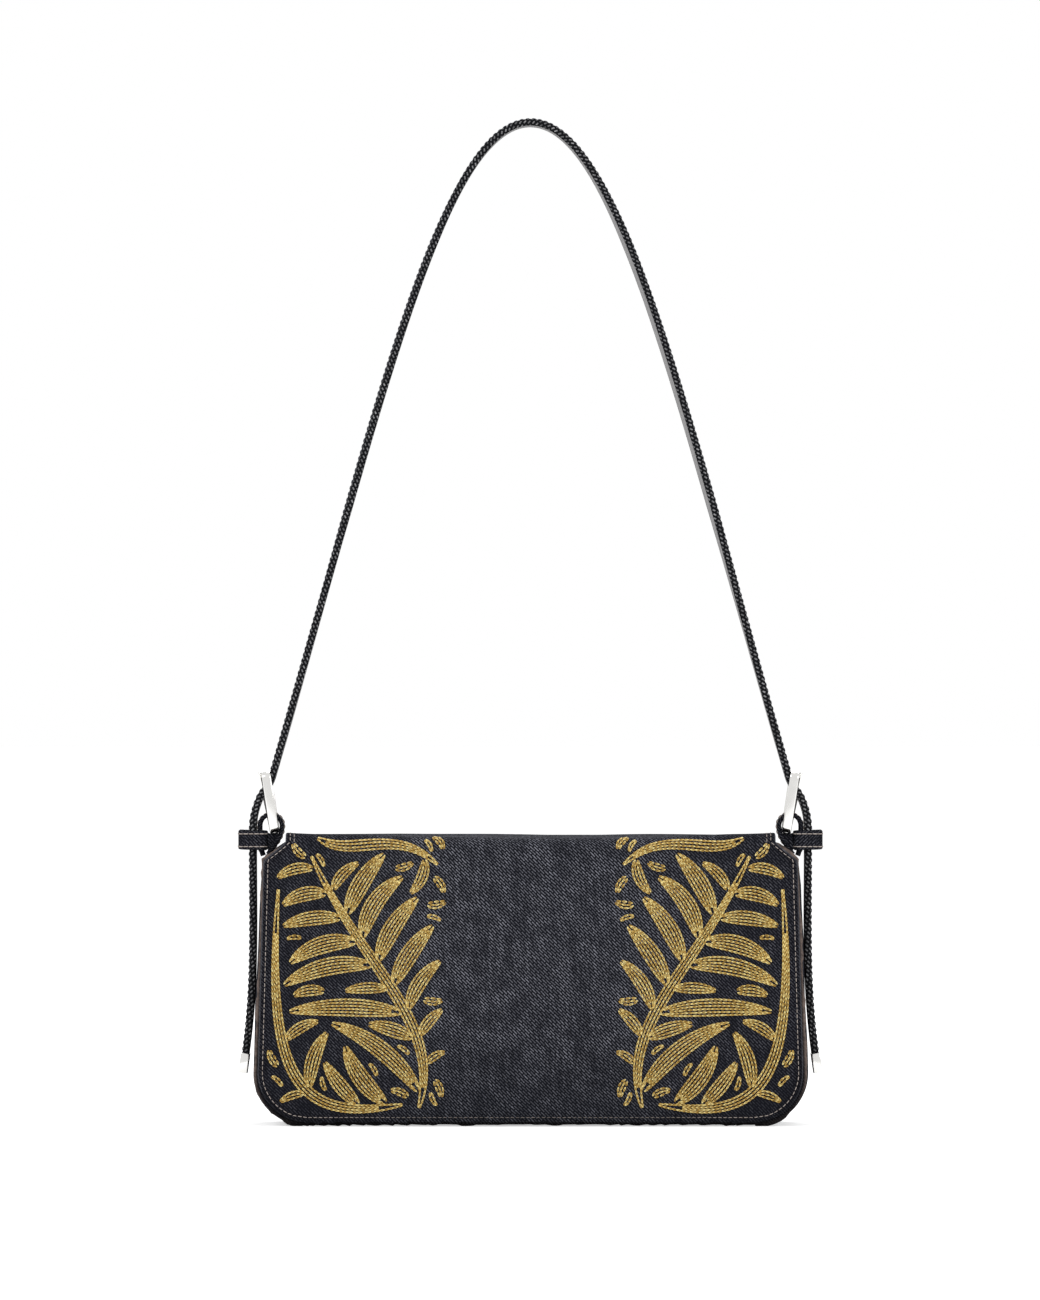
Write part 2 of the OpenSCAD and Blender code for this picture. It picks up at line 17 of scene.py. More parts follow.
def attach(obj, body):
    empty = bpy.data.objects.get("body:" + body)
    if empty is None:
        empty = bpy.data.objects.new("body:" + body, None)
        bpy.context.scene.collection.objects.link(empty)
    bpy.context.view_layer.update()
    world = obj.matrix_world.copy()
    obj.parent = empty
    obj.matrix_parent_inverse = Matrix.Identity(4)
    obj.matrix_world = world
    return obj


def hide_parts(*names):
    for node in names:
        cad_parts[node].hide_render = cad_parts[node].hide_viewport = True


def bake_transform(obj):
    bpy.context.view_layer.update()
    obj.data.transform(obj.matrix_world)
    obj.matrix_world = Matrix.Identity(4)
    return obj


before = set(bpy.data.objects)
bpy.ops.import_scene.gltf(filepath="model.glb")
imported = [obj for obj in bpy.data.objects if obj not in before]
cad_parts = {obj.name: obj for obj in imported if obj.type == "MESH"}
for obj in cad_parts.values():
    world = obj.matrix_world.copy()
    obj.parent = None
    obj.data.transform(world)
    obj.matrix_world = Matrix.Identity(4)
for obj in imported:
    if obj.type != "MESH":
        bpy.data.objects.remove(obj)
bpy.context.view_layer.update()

MM = 0.001

# %% [markdown]
# ## Camera
# The photograph looks straight at the front from far away through a long lens, level with a
# point a little above the middle of the whole bag, so the gussets still show beside the flap.
# One pixel of its 1040 by 1300 frame covers 0.485 mm at the bag.

# %% The camera
# The photo's size and the bag's middle and foot in it, in pixels, and the size of a pixel
PHOTO_W, PHOTO_H, PX_MM = 1040, 1300, 0.485
BAG_MID_PX, BAG_FOOT_PX = 530.5, 1124
CAMERA_Y, BAG_PLANE_Y, SENSOR_W = -5200, -15, 36
view_mid = ((PHOTO_W / 2 - BAG_MID_PX) * PX_MM, (BAG_FOOT_PX - PHOTO_H / 2) * PX_MM)
camera_data = bpy.data.cameras.new("camera")
camera_data.sensor_width = SENSOR_W
camera_data.lens = SENSOR_W * (BAG_PLANE_Y - CAMERA_Y) / (PHOTO_H * PX_MM)
camera = bpy.data.objects.new("camera", camera_data)
camera.location = (view_mid[0] * MM, CAMERA_Y * MM, view_mid[1] * MM)
camera.rotation_euler = (math.radians(90), 0, 0)
bpy.context.scene.collection.objects.link(camera)
bpy.context.scene.camera = camera
print("lens", round(camera_data.lens, 1), "mm")

# %% [markdown]
# ## Floor, backdrop and light
# The bag stands on a pale floor under plain soft light. The floor and the world look white to
# the camera and in reflections, but light the bag at a plain level, so a colour renders about
# as it is written. The floor keeps the bag's soft shadow.

# %% Helpers for materials
def linear(hex_colour):
    """sRGB hex to the linear colour that Blender works in."""
    parts = [int(hex_colour[i:i + 2], 16) / 255 for i in (1, 3, 5)]
    return [p / 12.92 if p <= 0.04045 else ((p + 0.055) / 1.055) ** 2.4 for p in parts] + [1]


def add(tree, kind, inputs=None, stops=None, **settings):
    """Adds a node. Inputs take a value or the socket that feeds them. Stops fill a ramp: its
    two ends first, then any between them."""
    n = tree.nodes.new(kind)
    for key, value in settings.items():
        setattr(n, key, value)
    for key, value in (inputs or {}).items():
        if isinstance(value, bpy.types.NodeSocket):
            tree.links.new(value, n.inputs[key])
        else:
            n.inputs[key].default_value = value
    for i, (place, colour) in enumerate(stops or ()):
        bands = n.color_ramp.elements
        band = bands[i] if i < 2 else bands.new(place)
        band.position = place
        band.color = linear(colour)
    return n


def new_material(name, **surface):
    """A material with one Principled shader, whose constant values are set on its own sockets."""
    m = bpy.data.materials.new(name)
    m.use_nodes = True
    shader = m.node_tree.nodes["Principled BSDF"]
    for key, value in surface.items():
        shader.inputs[key.replace("_", " ")].default_value = value
    return m, m.node_tree, shader


# %% [markdown]
# ## The studio
# A small product is photographed on a white sweep between large soft boxes. Here it is a world
# of one level, a floor a hair below the base, and three square lamps: a key from the front
# left, a weaker fill from the right, and one behind that draws the strap and the flap's top.
# A light-path switch makes the studio look white without lighting the bag as strongly.

# %% World, floor and lamps
def seen_white(tree):
    """1 for rays from the camera, from a mirror or through glass, which see a white studio."""
    path = add(tree, "ShaderNodeLightPath").outputs
    glossy = add(tree, "ShaderNodeMath", {0: path["Is Camera Ray"], 1: path["Is Glossy Ray"]},
                 operation="MAXIMUM")
    return add(tree, "ShaderNodeMath", {0: glossy.outputs[0], 1: path["Is Transmission Ray"]},
               operation="MAXIMUM").outputs[0]


WORLD_LEVEL, FLOOR_GLOW = 0.62, 0.52
world = bpy.data.worlds.new("studio")
bpy.context.scene.world = world
world.use_nodes = True
wt = world.node_tree
plain = add(wt, "ShaderNodeBackground", {"Color": (1, 1, 1, 1), "Strength": WORLD_LEVEL})
bright = add(wt, "ShaderNodeBackground", {"Color": (1, 1, 1, 1), "Strength": 1.0})
both = add(wt, "ShaderNodeMixShader", {0: seen_white(wt), 1: plain.outputs[0],
                                       2: bright.outputs[0]})
wt.links.new(both.outputs[0], wt.nodes["World Output"].inputs[0])

floor_paint, ft, floor_shader = new_material("studio_floor", Roughness=0.9)
floor_shader.inputs["Base Color"].default_value = linear("#e6e6e6")
lift = add(ft, "ShaderNodeEmission", {"Color": (1, 1, 1, 1), "Strength": FLOOR_GLOW})
lit = add(ft, "ShaderNodeAddShader", {0: floor_shader.outputs[0], 1: lift.outputs[0]})
seen = add(ft, "ShaderNodeMixShader", {0: seen_white(ft), 1: floor_shader.outputs[0],
                                       2: lit.outputs[0]})
ft.links.new(seen.outputs[0], ft.nodes["Material Output"].inputs[0])
bpy.ops.mesh.primitive_plane_add(size=40, location=(0, 0, -0.0006))
floor = bpy.context.object
floor.name = "studio_floor"
floor.data.materials.append(floor_paint)


def lamp(name, place, aim, size, power):
    """A square soft lamp at place, aimed at a point, all in metres."""
    data = bpy.data.lights.new(name, "AREA")
    data.size = size
    data.energy = power
    o = bpy.data.objects.new(name, data)
    o.location = place
    o.rotation_euler = (Vector(aim) - Vector(place)).to_track_quat("-Z", "Y").to_euler()
    bpy.context.scene.collection.objects.link(o)


lamp("key", (-1.3, -1.7, 1.7), (0, 0, 0.12), 1.1, 26)
lamp("fill", (1.5, -1.6, 1.1), (0, 0, 0.15), 1.3, 16)
lamp("back", (0.3, 1.6, 1.9), (0, 0, 0.1), 1.2, 22)
bpy.context.scene.view_settings.view_transform = "Standard"
print("lamps", len(bpy.data.lights), "over a world at", WORLD_LEVEL)

# %% [markdown]
# ## The bag's sizes
# These are the part's own sizes in millimetres, repeated here because cloth is drawn from them:
# the leaning sides, the round lower corners, and the front and back that lean together.

# %% Sizes and outlines
BAG_W, MOUTH_W, BAG_H, BODY_D, CORNER_R = 268, 259, 140, 55.4, 24
BODY_Y, DEPTH_TAPER, SHELL_T = 2.8, 10, 2.2
TOP_Z, RIM_Z, GUSSET_Z, NECK_X = 137.4, 136.4, 129.4, 118.6
FLAP_GAP, FLAP_T, LINING_T, FLAP_FOOT = 3, 1.8, 0.8, 1.5
# The flap's half width at its foot and at the mouth, and how high its foot hangs
FLAP_SIZE = (BAG_W / 2 - 2, MOUTH_W / 2 - 0.5, FLAP_FOOT)
NECK_Z, SHOULDER_Z = 136.5, 128
LAYER_IN, LINING_IN = 2.5, 4.0
SIDES = ((1, "right"), (-1, "left"))


def front_y(z):
    """Y of the front panel's face at height z, which leans in towards the mouth."""
    return BODY_Y - BODY_D / 2 + DEPTH_TAPER / 2 * z / BAG_H


def back_y(z):
    """Y of the back panel's face, which mirrors the front one."""
    return 2 * BODY_Y - front_y(z)


def side_tilt(foot_w=BAG_W / 2, mouth_w=MOUTH_W / 2, foot=0.0):
    """Angle by which a side leans in from the round lower corner up to the mouth."""
    a, b = mouth_w - foot_w + CORNER_R, BAG_H - foot - CORNER_R
    return math.atan2(b, a) - math.acos(CORNER_R / math.hypot(a, b))


def half_width(z, foot_w=BAG_W / 2, mouth_w=MOUTH_W / 2, foot=0.0, inset=0.0):
    """Half width at height z of an upright outline with leaning sides and round lower corners."""
    tilt, r = side_tilt(foot_w, mouth_w, foot), CORNER_R - inset
    cx, cz = foot_w - CORNER_R, foot + CORNER_R
    z = np.asarray(z, float)
    below = cx + np.sqrt(np.clip(r * r - (cz - z) ** 2, 0, None))
    on_side = cx + r * math.cos(tilt) - math.tan(tilt) * (z - cz - r * math.sin(tilt))
    return np.where(z < cz + r * math.sin(tilt), below, on_side)


def panel_half(z, inset=0.0):
    """Front and back panels: the sides, and above the gussets a slant to the flap's neck."""
    z = np.asarray(z, float)
    slant = np.interp(z, [GUSSET_Z, RIM_Z], [float(half_width(GUSSET_Z)), NECK_X])
    return np.where(z > GUSSET_Z, slant - inset, half_width(z, inset=inset))


print("half width", [round(float(half_width(z)), 1) for z in (0, 6, 24, 60, 128)])

# %% [markdown]
# ## Measuring cloth
# A cut of cloth is measured flat: how far a point lies from the nearest hem, and how far along
# a line it is. A soft random field gives the slow waves of interlined denim, and a finer one
# the puckers that a seam draws into its edge. Points stand closer together at a hem.

# %% Helpers that measure cloth
EDGE_STEPS = [0, 0.1, 0.25, 0.5, 0.85, 1.3, 1.9, 2.8, 4.0, 5.6]


def spaced(low, high, step, tight_low=True, tight_high=True):
    """Numbers from low to high, closer together at the ends that carry a hem."""
    start = [low + d for d in EDGE_STEPS] if tight_low else [low]
    end = [high - d for d in reversed(EDGE_STEPS)] if tight_high else [high]
    count = max(2, int(round((end[0] - start[-1]) / step)) + 1)
    return np.array(start[:-1] + list(np.linspace(start[-1], end[0], count)) + end[1:])


def edge_distance(points, outline):
    """Distance of flat points (..., 2) to an open outline, in mm."""
    flat = points.reshape(-1, 2)
    best = np.full(len(flat), 1e9)
    for a, b in zip(outline[:-1], outline[1:]):
        d = b - a
        t = np.clip(((flat - a) @ d) / max(d @ d, 1e-9), 0, 1)
        best = np.minimum(best, np.linalg.norm(flat - a - t[:, None] * d, axis=1))
    return best.reshape(points.shape[:-1])


def waves(u, v, seed, size=48.0):
    """Smooth random field, about -1 to 1, over coordinates in mm."""
    u, v = np.broadcast_arrays(u, v)
    out = [noise.noise(Vector((a / size, b / size, seed * 7.3)))
           for a, b in zip(u.ravel(), v.ravel())]
    return np.array(out).reshape(u.shape) * 1.6


def run_lengths(line):
    """The way along a line of points, in mm, at each of its points."""
    return np.concatenate([[0], np.cumsum(np.linalg.norm(np.diff(line, axis=0), axis=1))])


def normals_of(grid):
    """Unit normals of a grid of points (rows, cols, 3)."""
    n = np.cross(np.gradient(grid, axis=0), np.gradient(grid, axis=1))
    return n / np.maximum(np.linalg.norm(n, axis=2, keepdims=True), 1e-9)


# %% [markdown]
# ## From points to a mesh
# Most pieces of a sewn bag are cloth that no primitive resembles, so their points are worked
# out in millimetres and turned into a mesh in metres here. Materials read the distance to the
# hem as an attribute, and a UV map that counts in millimetres keeps every weave at its size.

# %% Helpers for meshes
def new_mesh(name, verts, faces, material, **floats):
    """A mesh object in metres from points in mm, with float attributes that materials read."""
    mesh = bpy.data.meshes.new(name)
    mesh.from_pydata((np.asarray(verts) * MM).tolist(), [], [list(map(int, f)) for f in faces])
    mesh.materials.append(material)
    for key, values in floats.items():
        mesh.attributes.new(key, "FLOAT", "POINT").data.foreach_set(
            "value", np.asarray(values, np.float32).ravel())
    o = bpy.data.objects.new(name, mesh)
    bpy.context.scene.collection.objects.link(o)
    return o, mesh


def outward(mesh):
    """Turns the faces of a closed mesh outwards."""
    bm = bmesh.new()
    bm.from_mesh(mesh)
    bmesh.ops.recalc_face_normals(bm, faces=bm.faces)
    bm.to_mesh(mesh)
    bm.free()


def made(name, verts, faces, material, uv, hem):
    """A welded mesh object with a UV map in mm and the distance to its hem at each point."""
    o, mesh = new_mesh(name, verts, faces, material, hem=hem)
    layer = mesh.uv_layers.new(name="cloth")
    loops = np.zeros(len(mesh.loops), np.int32)
    mesh.loops.foreach_get("vertex_index", loops)
    layer.data.foreach_set("uv", np.asarray(uv, np.float32)[loops].ravel())
    bm = bmesh.new()
    bm.from_mesh(mesh)
    bmesh.ops.remove_doubles(bm, verts=bm.verts, dist=2e-6)
    bmesh.ops.dissolve_degenerate(bm, dist=1e-7, edges=bm.edges)
    bm.to_mesh(mesh)
    bm.free()
    smooth(o)
    return o


def smooth(o, degrees=40):
    """Smooth shading that keeps edges sharper than an angle."""
    bpy.ops.object.select_all(action="DESELECT")
    o.select_set(True)
    bpy.context.view_layer.objects.active = o
    bpy.ops.object.shade_smooth_by_angle(angle=math.radians(degrees))
    o.select_set(False)


def quads(rows, cols, start=0, flip=False):
    """Faces of a grid of rows by cols points."""
    i, j = np.meshgrid(np.arange(rows - 1), np.arange(cols - 1), indexing="ij")
    a = (start + i * cols + j).ravel()
    f = np.stack([a, a + cols, a + cols + 1, a + 1], 1)
    return f[:, ::-1] if flip else f


# %% [markdown]
# ## How a sheet is made
# A sheet of cloth is a grid of points on its face side, with a second grid behind it. Where an
# edge is turned, the two come together in a round, as a hem does. Simulating each cut would
# also work, but these are flat, interlined and sewn all round, so they keep this shape.

# %% A sheet of cloth
def cloth(name, face, uv, thick, edge, material):
    """A sheet from its face grid (rows, cols, 3). Edge is the distance to the nearest hem.
    Its flat UV map gives the size and area it is cut to, in mm."""
    rows, cols = face.shape[:2]
    normal = normals_of(face)
    r = thick / 2
    near = np.clip(r - edge, 0, r)
    off = (r - np.sqrt(r * r - near * near))[..., None]
    front, back = face - normal * off, face - normal * (thick - off)
    count = rows * cols
    faces = list(quads(rows, cols)) + list(quads(rows, cols, count, True))
    ring = ([(0, j) for j in range(cols)] + [(i, cols - 1) for i in range(1, rows)]
            + [(rows - 1, j) for j in range(cols - 2, -1, -1)]
            + [(i, 0) for i in range(rows - 2, 0, -1)])
    ids = [i * cols + j for i, j in ring]
    for a, b in zip(ids, ids[1:] + ids[:1]):
        faces.append([a, b, b + count, a + count])
    flat = uv.reshape(-1, 2)
    hem = np.minimum(edge, 60).ravel()
    piece = made(name, np.concatenate([front.reshape(-1, 3), back.reshape(-1, 3)]), faces,
                 material, np.concatenate([flat, flat]), np.concatenate([hem, hem]))
    return piece


# %% [markdown]
# ## Denim
# Raw indigo denim is a three-by-one twill: dark blue-black warp threads lie over pale weft
# threads that show only as short grey dashes in slanting lines. Real twill lines are about
# 0.8 mm apart; the photograph shows them about 1.3 mm apart, so they are drawn at 1.15 mm,
# a little coarser than real cloth.
# The dashes are the bricks of a Brick texture turned by 45 degrees, uneven warp threads are
# noise stretched along the cloth, and the middle of the bag is a little paler, as in the photo.

# %% Helpers for cloth colours
def blend_colours(tree, factor, a, b):
    """The socket of a Mix node between two colours, each a hex value or a socket."""
    ends = [linear(c) if isinstance(c, str) else c for c in (a, b)]
    return add(tree, "ShaderNodeMix", {0: factor, 6: ends[0], 7: ends[1]},
               data_type="RGBA").outputs[2]


def times(tree, a, b, clamp=False):
    return add(tree, "ShaderNodeMath", {0: a, 1: b}, operation="MULTIPLY",
               use_clamp=clamp).outputs[0]


def ramp(tree, value, low, high, at_low, at_high, kind="SMOOTHSTEP"):
    """Maps value from low..high to at_low..at_high, held beyond both ends."""
    return add(tree, "ShaderNodeMapRange",
               {"Value": value, "From Min": low, "From Max": high, "To Min": at_low,
                "To Max": at_high}, interpolation_type=kind).outputs[0]


# %% Denim
def denim(name, ground, deep, dash, line=1.15, length=3.8, streak=1.0, falloff=None,
          rub=(0.25, 0.9), worn=None):
    """Twill in the piece's own UV map, which counts in mm: U across, V along the warp.
    Rub is how strongly and how many mm deep the hems are rubbed to the worn colour."""
    m, t, shader = new_material(name, Roughness=0.92, Specular_IOR_Level=0.04)
    uv = add(t, "ShaderNodeUVMap", uv_map="cloth").outputs[0]
    wobble = add(t, "ShaderNodeTexNoise", {"Vector": uv, "Scale": 0.09, "Detail": 2.0})
    bent = add(t, "ShaderNodeVectorMath", {0: wobble.outputs["Color"], 1: (1.1, 1.1, 0),
                                           2: uv}, operation="MULTIPLY_ADD")
    turned = add(t, "ShaderNodeMapping", {"Vector": bent.outputs[0],
                                          "Rotation": (0, 0, math.radians(45))})
    row, groove = 0.25, 0.44
    weft = add(t, "ShaderNodeTexBrick",
               {"Vector": turned.outputs[0], "Color1": (0.5, 0.5, 0.5, 1), "Color2": (1, 1, 1, 1),
                "Mortar": (0, 0, 0, 1), "Scale": row / line, "Mortar Size": groove * row,
                "Mortar Smooth": 0.55, "Bias": -0.1, "Brick Width": row * length / line,
                "Row Height": row}, offset=0.42, offset_frequency=2, squash=1.0)
    warp_way = add(t, "ShaderNodeMapping", {"Vector": uv, "Scale": (0.85, 0.035, 1)})
    slub = add(t, "ShaderNodeTexNoise", {"Vector": warp_way.outputs[0], "Scale": 1.0,
                                         "Detail": 4.0, "Roughness": 0.65}).outputs[0]
    fine = add(t, "ShaderNodeTexNoise", {"Vector": uv, "Scale": 1.5, "Detail": 3.0}).outputs[0]
    cloud = add(t, "ShaderNodeTexNoise", {"Vector": uv, "Scale": 0.1,
                                          "Detail": 5.0}).outputs[0]
    tone = times(t, ramp(t, slub, 0.36, 0.68, 1 - 0.35 * streak, 1 + 0.35 * streak),
                 ramp(t, cloud, 0.36, 0.64, 0.58, 1.1))
    place = add(t, "ShaderNodeTexCoord").outputs["Object"]
    split = add(t, "ShaderNodeSeparateXYZ", {0: place}).outputs
    if falloff:
        # The cloth is palest in the middle and darker outward, and a painted shade darkens it
        # towards the foot
        away = add(t, "ShaderNodeMath", {0: split[0]}, operation="ABSOLUTE").outputs[0]
        tone = times(t, tone, ramp(t, away, falloff[0], falloff[1], 1.15, 0.42))
        # Painted shade near the floor: the denim is darker towards the foot
        tone = times(t, tone, ramp(t, split[2], 0.004, 0.055, 0.55, 1))
    dashes = times(t, weft.outputs["Color"], ramp(t, fine, 0.3, 0.7, 0.5, 1.25))
    colour = blend_colours(t, times(t, dashes, tone, True),
                           blend_colours(t, slub, deep, ground), dash)
    # Hems get a painted shade of their puckers, and their outermost threads are rubbed pale
    hem = add(t, "ShaderNodeAttribute", attribute_name="hem").outputs["Fac"]
    hem_shaded = add(t, "ShaderNodeVectorMath", {0: colour, "Scale": ramp(t, hem, 0, 7, 0.62, 1)},
                 operation="SCALE").outputs[0]
    rope = add(t, "ShaderNodeTexNoise", {"Vector": uv, "Scale": 0.42, "Detail": 2.0}).outputs[0]
    share = times(t, ramp(t, hem, 0.1, rub[1], 2 * rub[0], 0),
                  ramp(t, split[2], 0.006, 0.03, 0.1, 1))
    rubbed = blend_colours(t, times(t, share, rope), hem_shaded, worn or dash)
    t.links.new(rubbed, shader.inputs["Base Color"])
    relief = add(t, "ShaderNodeMath", {0: weft.outputs["Fac"], 1: -1.0, 2: fine},
                 operation="MULTIPLY_ADD").outputs[0]
    bump = add(t, "ShaderNodeBump", {"Strength": 0.55, "Distance": 0.00022, "Height": relief})
    t.links.new(bump.outputs[0], shader.inputs["Normal"])
    return m


# %% [markdown]
# ## Three denims
# All denim of the bag is one cloth, but it wears in three ways: plain on the flap, rubbed at
# the edges of the body, and folded narrow on the strap, where the twill lies across the edge.

# %% The denims of the bag
# How far from the middle the denim goes from pale to dark; it also switches on the painted shade
# at the foot
MIDDLE_FALLOFF = (0.045, 0.105)
# Unwashed indigo cotton: nearly black, matt, with pale weft dashes and no shine
RAW_DENIM = denim("raw_indigo_denim_twill", "#1a1b22", "#0b0c11", "#82838c", falloff=MIDDLE_FALLOFF)
# The same cloth where an edge sticks out: its outermost threads are rubbed to a warm grey
BODY_DENIM = denim("denim_with_a_rubbed_seam", "#1a1b22", "#0b0c11", "#82838c",
                   falloff=MIDDLE_FALLOFF, rub=(0.6, 1.9), worn="#8a7a72")
# Folded narrow band: its twill shows as coarse black and pale dashes along both edges
STRAP_DENIM = denim("strap_denim_cut_on_the_bias", "#17181b", "#0b0b0e", "#9b9b9d",
                    line=1.7, length=2.5, streak=0.4, rub=(0, 1))
print("denim", RAW_DENIM.name, BODY_DENIM.name, STRAP_DENIM.name)

# %% [markdown]
# ## Linings
# The lining is a plain dark cotton and the strap's inside is a smooth grey cloth. In a plain
# weave each thread goes over one and under the next, so two crossed waves draw it.

# %% Linings
# A wave texture of scale 1 repeats every 0.314 units
WAVE_PERIOD = 0.314


def plain_weave(name, colour, shade, thread_mm, roughness=0.9):
    """Plain cloth: threads over and under, drawn as two crossed waves in the mm UV map."""
    m, t, shader = new_material(name, Roughness=roughness, Specular_IOR_Level=0.25)
    uv = add(t, "ShaderNodeUVMap", uv_map="cloth").outputs[0]
    waves_of = [add(t, "ShaderNodeTexWave", {"Vector": uv, "Scale": WAVE_PERIOD / thread_mm,
                                             "Distortion": 0.6, "Detail": 1.0},
                    bands_direction=way).outputs["Fac"] for way in "XY"]
    weave = times(t, *waves_of)
    cloud = add(t, "ShaderNodeTexNoise", {"Vector": uv, "Scale": 0.08, "Detail": 3.0})
    tone = add(t, "ShaderNodeMath", {0: weave, 1: 0.6, 2: times(t, cloud.outputs[0], 0.5)},
               operation="MULTIPLY_ADD").outputs[0]
    t.links.new(blend_colours(t, tone, shade, colour), shader.inputs["Base Color"])
    bump = add(t, "ShaderNodeBump", {"Strength": 0.4, "Distance": 0.00012, "Height": weave})
    t.links.new(bump.outputs[0], shader.inputs["Normal"])
    return m


# Dyed cotton, quite matt; threads drawn 0.9 mm wide, coarser than real, so that they show
LINING = plain_weave("dark_cotton_lining", "#34353c", "#1a1b20", 0.9)
# Smooth grey cotton with a faint gloss; threads drawn 0.7 mm wide, coarser than real
STRAP_LINING = plain_weave("grey_strap_lining_cloth", "#a9a8a8", "#868586", 0.7, 0.75)
print("linings", LINING.name, STRAP_LINING.name)

# %% [markdown]
# ## Threads
# The embroidery is rayon thread: bright where a strand turns to the light, brown in the gaps
# between rows, and both are painted into its colour as a painted highlight on top and painted
# shade low down. So each stitch carries its height above the cloth and a tone of its own as
# attributes, and one ramp turns both into a colour, with painted glints along the strands.
# Cotton thread has the same, less bright.

# %% Threads
# Noise patches to the metre, so a strand's painted glint is about 1.1 mm long
GLINT_SCALE = 900.0


def thread(name, low, middle, high, roughness, sheen):
    """Thread coloured by a stitch's height over the cloth and its own tone: painted shade low,
    painted highlights high.
    """
    m, t, shader = new_material(name, Roughness=roughness, Specular_IOR_Level=0.45,
                                Sheen_Weight=sheen, Sheen_Roughness=0.3)
    lifted = add(t, "ShaderNodeAttribute", attribute_name="lift").outputs["Fac"]
    tone = add(t, "ShaderNodeAttribute", attribute_name="tone").outputs["Fac"]
    place = add(t, "ShaderNodeTexCoord").outputs["Object"]
    strand_glints = add(t, "ShaderNodeTexNoise", {"Vector": place, "Scale": GLINT_SCALE,
                                            "Detail": 2.0})
    mixed = add(t, "ShaderNodeMath", {0: strand_glints.outputs[0], 1: 0.3, 2: times(t, lifted, 0.62)},
                operation="MULTIPLY_ADD").outputs[0]
    level = add(t, "ShaderNodeMath", {0: tone, 1: 0.26, 2: mixed}, operation="MULTIPLY_ADD")
    colour = add(t, "ShaderNodeValToRGB", {0: level.outputs[0]},
                 stops=[(0.26, low), (0.95, high), (0.62, middle)])
    t.links.new(colour.outputs[0], shader.inputs["Base Color"])
    return m


# Twisted rayon, soft silky gloss; its painted strand glints are drawn about 1.1 mm long,
# coarser than real; its brown is painted shade and its pale yellow a painted highlight
GOLD = thread("gold_rayon_embroidery_thread", "#402c08", "#bd9439", "#f8e294", 0.45, 0.1)
# Undyed cotton thread, matt and a little dusty; its darkest tone is painted shade, its palest a
# painted highlight
PALE_THREAD = thread("pale_cotton_topstitch_thread", "#4f4946", "#8a7f79", "#b9aea7", 0.7, 0.1)
# Cotton thread dyed like the denim, so its stitches hardly show; its darkest tone is painted
# shade, its palest a painted highlight
DARK_THREAD = thread("indigo_cotton_thread", "#101116", "#2b2c34", "#50525c", 0.75, 0.1)
print("threads", GOLD.name, PALE_THREAD.name, DARK_THREAD.name)

# %% [markdown]
# ## Metal and board
# Buckles and tips are cast or folded brass, polished and plated with nickel, which shows the
# white studio. The snap is plated steel, less polished. A metal has one colour and is made
# lively by its gloss, so slight rubbed patches change its roughness and hardly its tint.

# %% Metal and board
# Noise patches to the metre: polishing marks 0.4 mm apart and clumps of pulp 2.4 mm apart
GRAIN_SCALE, PULP_SCALE = 2500.0, 420.0


def metal(name, colour, roughness, wear_mm=6.0):
    """Plated metal: one colour, with slight rubbed patches that mostly change its polish."""
    m, t, shader = new_material(name, Metallic=1.0)
    place = add(t, "ShaderNodeTexCoord").outputs["Object"]
    rub = add(t, "ShaderNodeTexNoise", {"Vector": place, "Scale": 1 / (wear_mm * MM),
                                        "Detail": 4.0}).outputs[0]
    t.links.new(ramp(t, rub, 0.35, 0.7, roughness * 0.7, roughness * 1.5, "LINEAR"),
                shader.inputs["Roughness"])
    tint = blend_colours(t, rub, colour, "#ffffff")
    t.links.new(blend_colours(t, 0.12, colour, tint), shader.inputs["Base Color"])
    fine = add(t, "ShaderNodeTexNoise", {"Vector": place, "Scale": GRAIN_SCALE, "Detail": 2.0})
    bump = add(t, "ShaderNodeBump", {"Strength": 0.05, "Distance": 0.00002,
                                     "Height": fine.outputs[0]})
    t.links.new(bump.outputs[0], shader.inputs["Normal"])
    return m


# Bright nickel plate over polished brass: a near mirror with a warm white tint
NICKEL = metal("polished_nickel_plate", "#dddcd9", 0.12)
# Barrel-plated nickel on pressed steel: a softer gloss
SNAP_METAL = metal("nickel_plated_snap", "#d9d7d0", 0.22, 3.0)
# Zinc-plated steel, as stamped: grey and dull
STEEL = metal("zinc_plated_steel_washer", "#a9abad", 0.38, 2.0)

# Pressed fibre board, matt, with a mottled pulp that is drawn about 2.4 mm wide
board, bt, board_shader = new_material("grey_bag_board", Roughness=0.85)
pulp = add(bt, "ShaderNodeTexNoise", {"Vector": add(bt, "ShaderNodeTexCoord").outputs["Object"],
                                      "Scale": PULP_SCALE, "Detail": 5.0}).outputs[0]
bt.links.new(blend_colours(bt, pulp, "#4b4540", "#6a625b"), board_shader.inputs["Base Color"])
print("materials", len(bpy.data.materials))

# %% [markdown]
# ## The flap's surface
# One path in the YZ plane carries the whole flap: up from the back panel, round the back fold,
# along the top, round the front fold and down to the foot. Any place on the flap is then given
# by X and the way along that path, which denim, lining, stitches and embroidery all share.

# %% The flap's path
REAR_Z, BACK_R, FOLD_R, FLAP_ALL_T = 126.0, 4.0, 6.0, FLAP_T + LINING_T
REAR_COUNT, ARC_COUNT, TOP_COUNT, TOP_SAG = 12, 16, 24, 0.7


def outer_y(z):
    """Y of the hanging flap's face at height z."""
    return front_y(z) - FLAP_GAP - FLAP_ALL_T


def arc(cy, cz, r, start, end):
    """Points of an arc about (cy, cz) in the YZ plane, its angles in degrees."""
    return [(cy + r * math.cos(a), cz + r * math.sin(a))
            for a in np.radians(np.linspace(start, end, ARC_COUNT))]


